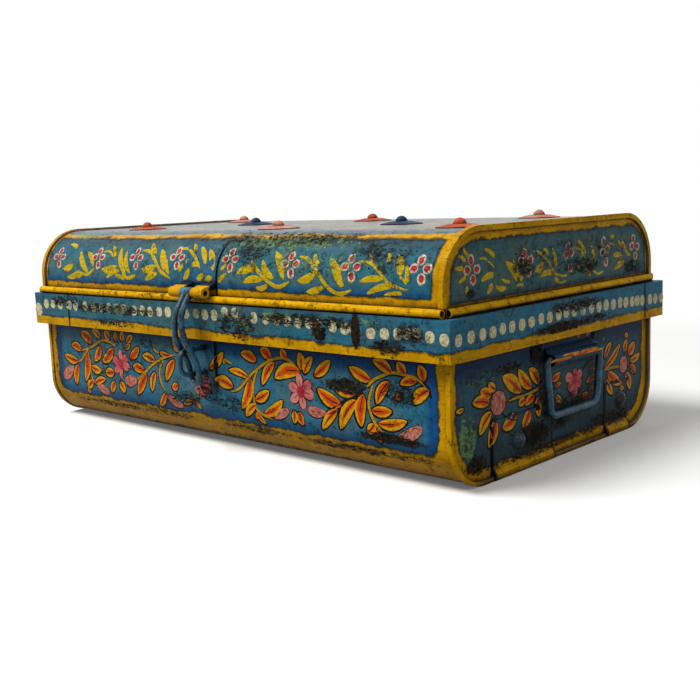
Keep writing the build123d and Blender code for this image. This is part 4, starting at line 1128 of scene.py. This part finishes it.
def paint_body_end(face):
    outlined_stems(face, END_STEMS, END_STEM_WIDTH, 1.2)
    for row in END_LEAVES:
        leaf(face, *row)
    for line in END_DARK_STEMS:
        long_stroke(midribs, face, line, hand.uniform(1.0, 1.6), END_DARK_STEM_LIFT)
    for (u, v), wide, high in END_DISCS:
        rim = daub(u, v, 0, high / 2 + DISC_RIM)
        leaf_outlines.stroke(face, rim, wide + 2 * DISC_RIM, round_shape, OUTLINE_LIFT, 13)
        buds.stroke(face, daub(u, v, 0, high / 2), wide, round_shape, BUD_LIFT, 13)
    for middle, rows in END_FLOWERS:
        flower(face, middle, rows)


def paint_lid_front(face):
    for line, width in LID_STEMS:
        long_stroke(lid_leaves, face, line, width, LID_STEM_LIFT)
    for row in LID_STROKES:
        lid_leaf(face, *row)
    lid_leaves.stroke(face, PLATE_STEM, 2.5, stem_shape, LID_STEM_LIFT, 16)
    for row in PLATE_STROKES:
        lid_leaf(face, *row)
    for middle in LID_FLOWERS:
        lid_flower(face, middle, FLOWER_OFFSETS)


def paint_lid_end(face):
    for line, width in LID_END_STEMS:
        long_stroke(lid_leaves, face, line, width, LID_STEM_LIFT)
    for row in LID_END_STROKES:
        lid_leaf(face, *row)
    for middle, offsets in LID_END_FLOWERS:
        lid_flower(face, middle, offsets)


def dot(face, u, v, size=1.0):
    """Cream dot on the band, a little off its place and never quite the same size."""
    u, v = u + hand.uniform(-0.3, 0.3), v + hand.uniform(-0.4, 0.4)
    tall, wide = size * hand.uniform(3.8, 4.2), size * hand.uniform(7.2, 8.2)
    band_dots.stroke(face, daub(u, v, 0, tall), wide, round_shape, DOT_LIFT, 11)


body_end_left = across_from(body_end, X_AXIS)
paint_body_front(body_front)
paint_body_front(across_from(body_wall, Y_AXIS))
paint_body_end(body_end)
paint_body_end(body_end_left)
paint_handle(body_end, handle_tube)
paint_handle(body_end_left, across_from(handle_tube, X_AXIS))
paint_lid_front(lid_front)
paint_lid_front(across_from(lid_wall, Y_AXIS))
paint_lid_end(lid_end)
paint_lid_end(across_from(lid_end, X_AXIS))
for across, up in FRONT_DOTS:
    dot(band_front, across, up)
    dot(band_back, -across, up)
dot(band_front, *LONE_DOT)
for across, up in END_DOTS:
    dot(band_right, across, up)
    dot(band_left, across, up)

# What a stroke's shade is made from: the point in mm, how far along the stroke it lies (0 to 1), how far off
# its middle (0 to 0.5), the stroke's own tone (0 to 1) and the bristle marks
Laid = collections.namedtuple("Laid", "spot along off tone marks")


def stroke_material(name, body, shade):
    """Artist's oil paint laid in single strokes, glossier and cleaner than the coat under them."""
    made, tree, spot, marks = new_paint(name)
    along, breadth, _ = add(tree, "SeparateXYZ", {0: add(tree, "TexCoord").outputs["UV"]}).outputs
    off = add(tree, "Math", {0: breadth, 1: 0.5}, operation="SUBTRACT")
    off = add(tree, "Math", {0: off}, operation="ABSOLUTE")
    tone = add(tree, "Attribute", attribute_name="tone").outputs["Fac"]
    colour = shade(tree, Laid(spot, along, off, tone, marks))
    add(tree, "OutputMaterial", {0: aged(tree, spot, colour, marks, body, rough=0.34, film=0.4)})
    return made


def wet_brush(deep, pale):
    """One paint in two tones, told apart by the bristle marks."""
    return lambda tree, laid: blended(tree, laid.marks, 0.4, 0.65, deep, pale)


def dry_brush(fleck_mm, rough, low, high, deep, pale):
    """One paint in two tones, flecked where the brush ran dry and what lies below shows."""

    def shade(tree, laid):
        flecks = {"Scale": 1 / fleck_mm, "Detail": 4.0, "Roughness": rough}
        return blended(tree, add(tree, "TexNoise", {0: laid.spot, **flecks}), low, high, deep, pale)

    return shade


def leaf_shade(tree, laid):
    """Orange at the base and along the middle, yellow at the tip and edges."""
    fine = add(tree, "TexNoise", {0: laid.spot, "Scale": 1 / 2.2, "Detail": 4.0, "Roughness": 0.65})
    yellow = add(tree, "Math", {0: laid.along, 1: 0.75}, operation="MULTIPLY")
    for more, share in ((laid.off, 2.4), (fine, 0.6), (laid.tone, 0.5)):
        yellow = add(tree, "Math", {0: more, 1: share, 2: yellow}, operation="MULTIPLY_ADD")
    return blended(tree, yellow, 1.3, 1.75, "#D8500A", "#E2A810")


def petal_shade(tree, laid):
    """Crimson running out of the flower's heart into pink."""
    fine = add(tree, "TexNoise", {0: laid.spot, "Scale": 1 / 2.0, "Detail": 4.0, "Roughness": 0.65})
    pale = blended(tree, laid.tone, 0.2, 0.9, "#C65F5E", "#D98A7C")
    reach = add(tree, "Math", {0: fine, 1: 0.5, 2: laid.along}, operation="MULTIPLY_ADD")
    return blended(tree, reach, 0.62, 0.3, pale, "#A8303E", 0.7)


def lid_leaf_shade(tree, laid):
    """Ochre, dry enough in places for the field to show through."""
    fine = add(tree, "TexNoise", {0: laid.spot, "Scale": 1 / 1.8, "Detail": 4.0, "Roughness": 0.7})
    colour = blended(tree, laid.marks, 0.36, 0.62, "#B8980C", "#D6B816")
    return blended(tree, fine, 0.46, 0.34, colour, "#5C6A30", 0.75)


black_line = wet_brush("#090807", "#1C1912")
for coat, name, body, shade, slot in (
    (leaf_outlines, "leaf_outlines", "trunk", black_line, "navy_paint"),
    (stems, "stems", "trunk", wet_brush("#A98418", "#D8A21A"), "ochre_paint"),
    (leaves, "leaves", "trunk", leaf_shade, "ochre_paint"),
    (midribs, "midribs", "trunk", black_line, "navy_paint"),
    (petal_outlines, "petal_outlines", "trunk", wet_brush("#2E1018", "#5A1E2A"), "orange_paint"),
    (petals, "petals", "trunk", petal_shade, "peach_paint"),
    (hearts, "flower_hearts", "trunk", wet_brush("#A8243A", "#C23A4C"), "orange_paint"),
    (buds, "buds", "trunk", dry_brush(2.4, 0.65, 0.42, 0.62, "#B4604F", "#D48F78"), "peach_paint"),
    (lid_leaves, "lid_leaves", "lid", lid_leaf_shade, "ochre_paint"),
    (lid_petals, "lid_petals", "lid", dry_brush(1.8, 0.7, 0.36, 0.56, "#8E6A62", "#DED0AE"), "peach_paint"),
    (lid_hearts, "lid_hearts", "lid", wet_brush("#A52A34", "#C24048"), "orange_paint"),
    (band_dots, "band_dots", "lid", dry_brush(1.6, 0.7, 0.36, 0.56, "#A39C7C", "#E4D9AE"), "peach_paint"),
):
    coat.spread("painted_" + name, body, stroke_material("oil_paint_strokes_" + name, body, shade), slot)

# ---------- floor, light and camera ----------

FLOOR_REACH = 6.0
FLOOR_FADE = (0.45, 0.8)  # metres out: where the paper starts to go over to white, and where it is white
WORLD_LEVEL = 0.28
LIGHTS_AIM = Vector((0, 0, 0.08))


def seen_outright(tree):
    """1 for the camera, reflections and glass, which are shown the white background, and 0 for light."""
    rays = add(tree, "LightPath").outputs
    direct = add(tree, "Math", {0: rays["Is Camera Ray"], 1: rays["Is Glossy Ray"]}, operation="MAXIMUM")
    return add(tree, "Math", {0: direct, 1: rays["Is Transmission Ray"]}, operation="MAXIMUM")


def studio_floor():
    """Pale floor that shows the trunk's soft shadow and runs out to white."""
    mesh = bpy.data.meshes.new("studio_floor")
    corners = [(x * FLOOR_REACH, y * FLOOR_REACH, 0) for x, y in ((-1, -1), (1, -1), (1, 1), (-1, 1))]
    mesh.from_pydata(corners, [], [(0, 1, 2, 3)])
    floor = placed("studio_floor", mesh)
    made, tree = new_material("matte_white_paper")
    local = add(tree, "TexCoord").outputs["Object"]
    far = add(tree, "VectorMath", {0: local}, operation="LENGTH")
    open_floor = add(tree, "MapRange", {0: far, 1: FLOOR_FADE[0], 2: FLOOR_FADE[1]}, **SOFT)
    matte = add(tree, "BsdfDiffuse", {"Color": "#F4F4F2"})
    lift = add(tree, "Emission", {"Strength": 0.1})
    near = add(tree, "AddShader", {0: matte, 1: lift})
    white = add(tree, "Emission", {"Strength": 1.0})
    shown = add(tree, "MixShader", {0: open_floor, 1: near, 2: white})
    bounce = add(tree, "BsdfDiffuse", {"Color": "#8E8C88"})
    both = add(tree, "MixShader", {0: seen_outright(tree), 1: bounce, 2: shown})
    add(tree, "OutputMaterial", {0: both})
    mesh.materials.append(made)


def studio_world():
    """White all round to the camera and in reflections, a softer level as light."""
    world = bpy.data.worlds.new("studio_world")
    bpy.context.scene.world = world
    world.use_nodes = True
    tree = world.node_tree
    tree.nodes.clear()
    level = add(tree, "MapRange", {0: seen_outright(tree), 3: WORLD_LEVEL, 4: 1.0})
    sky = add(tree, "Background", {"Strength": level, "Color": "#FFFFFF"})
    add(tree, "OutputWorld", {0: sky})


def soft_box(name, at, size, power):
    """Square studio light turned to the trunk."""
    light = bpy.data.lights.new(name, "AREA")
    light.size, light.energy = size, power
    made = placed(name, light)
    made.location = at
    made.rotation_euler = (LIGHTS_AIM - Vector(at)).to_track_quat("-Z", "Y").to_euler()


studio_floor()
studio_world()
soft_box("key_light", (-0.8, -1.5, 2.6), 1.3, 94.0)
soft_box("fill_light", (2.0, -0.6, 1.5), 1.2, 7.5)

CAMERA_AT = Vector((612.306, -635.732, 192.128)) * MM
CAMERA_YAW, CAMERA_PITCH, CAMERA_ROLL = 0.74823, 0.1504, -0.03831
CAMERA_LENS, CAMERA_SENSOR = 53.07, 36.0


def place_camera():
    """The view from near the right front corner, turned by yaw, down by pitch and about its axis by roll."""
    ahead = Vector((
        -math.sin(CAMERA_YAW) * math.cos(CAMERA_PITCH),
        math.cos(CAMERA_YAW) * math.cos(CAMERA_PITCH),
        -math.sin(CAMERA_PITCH),
    ))
    level = ahead.cross(Vector((0, 0, 1))).normalized()
    upright = level.cross(ahead)
    right = math.cos(CAMERA_ROLL) * level + math.sin(CAMERA_ROLL) * upright
    up = -math.sin(CAMERA_ROLL) * level + math.cos(CAMERA_ROLL) * upright
    lens = bpy.data.cameras.new("camera")
    lens.lens, lens.sensor_width = CAMERA_LENS, CAMERA_SENSOR
    lens.clip_start, lens.clip_end = 0.05, 30.0
    camera = placed("camera", lens)
    camera.matrix_world = Matrix.Translation(CAMERA_AT) @ Matrix((right, up, -ahead)).transposed().to_4x4()
    bpy.context.scene.camera = camera


place_camera()
bpy.context.scene.view_settings.view_transform = "Standard"
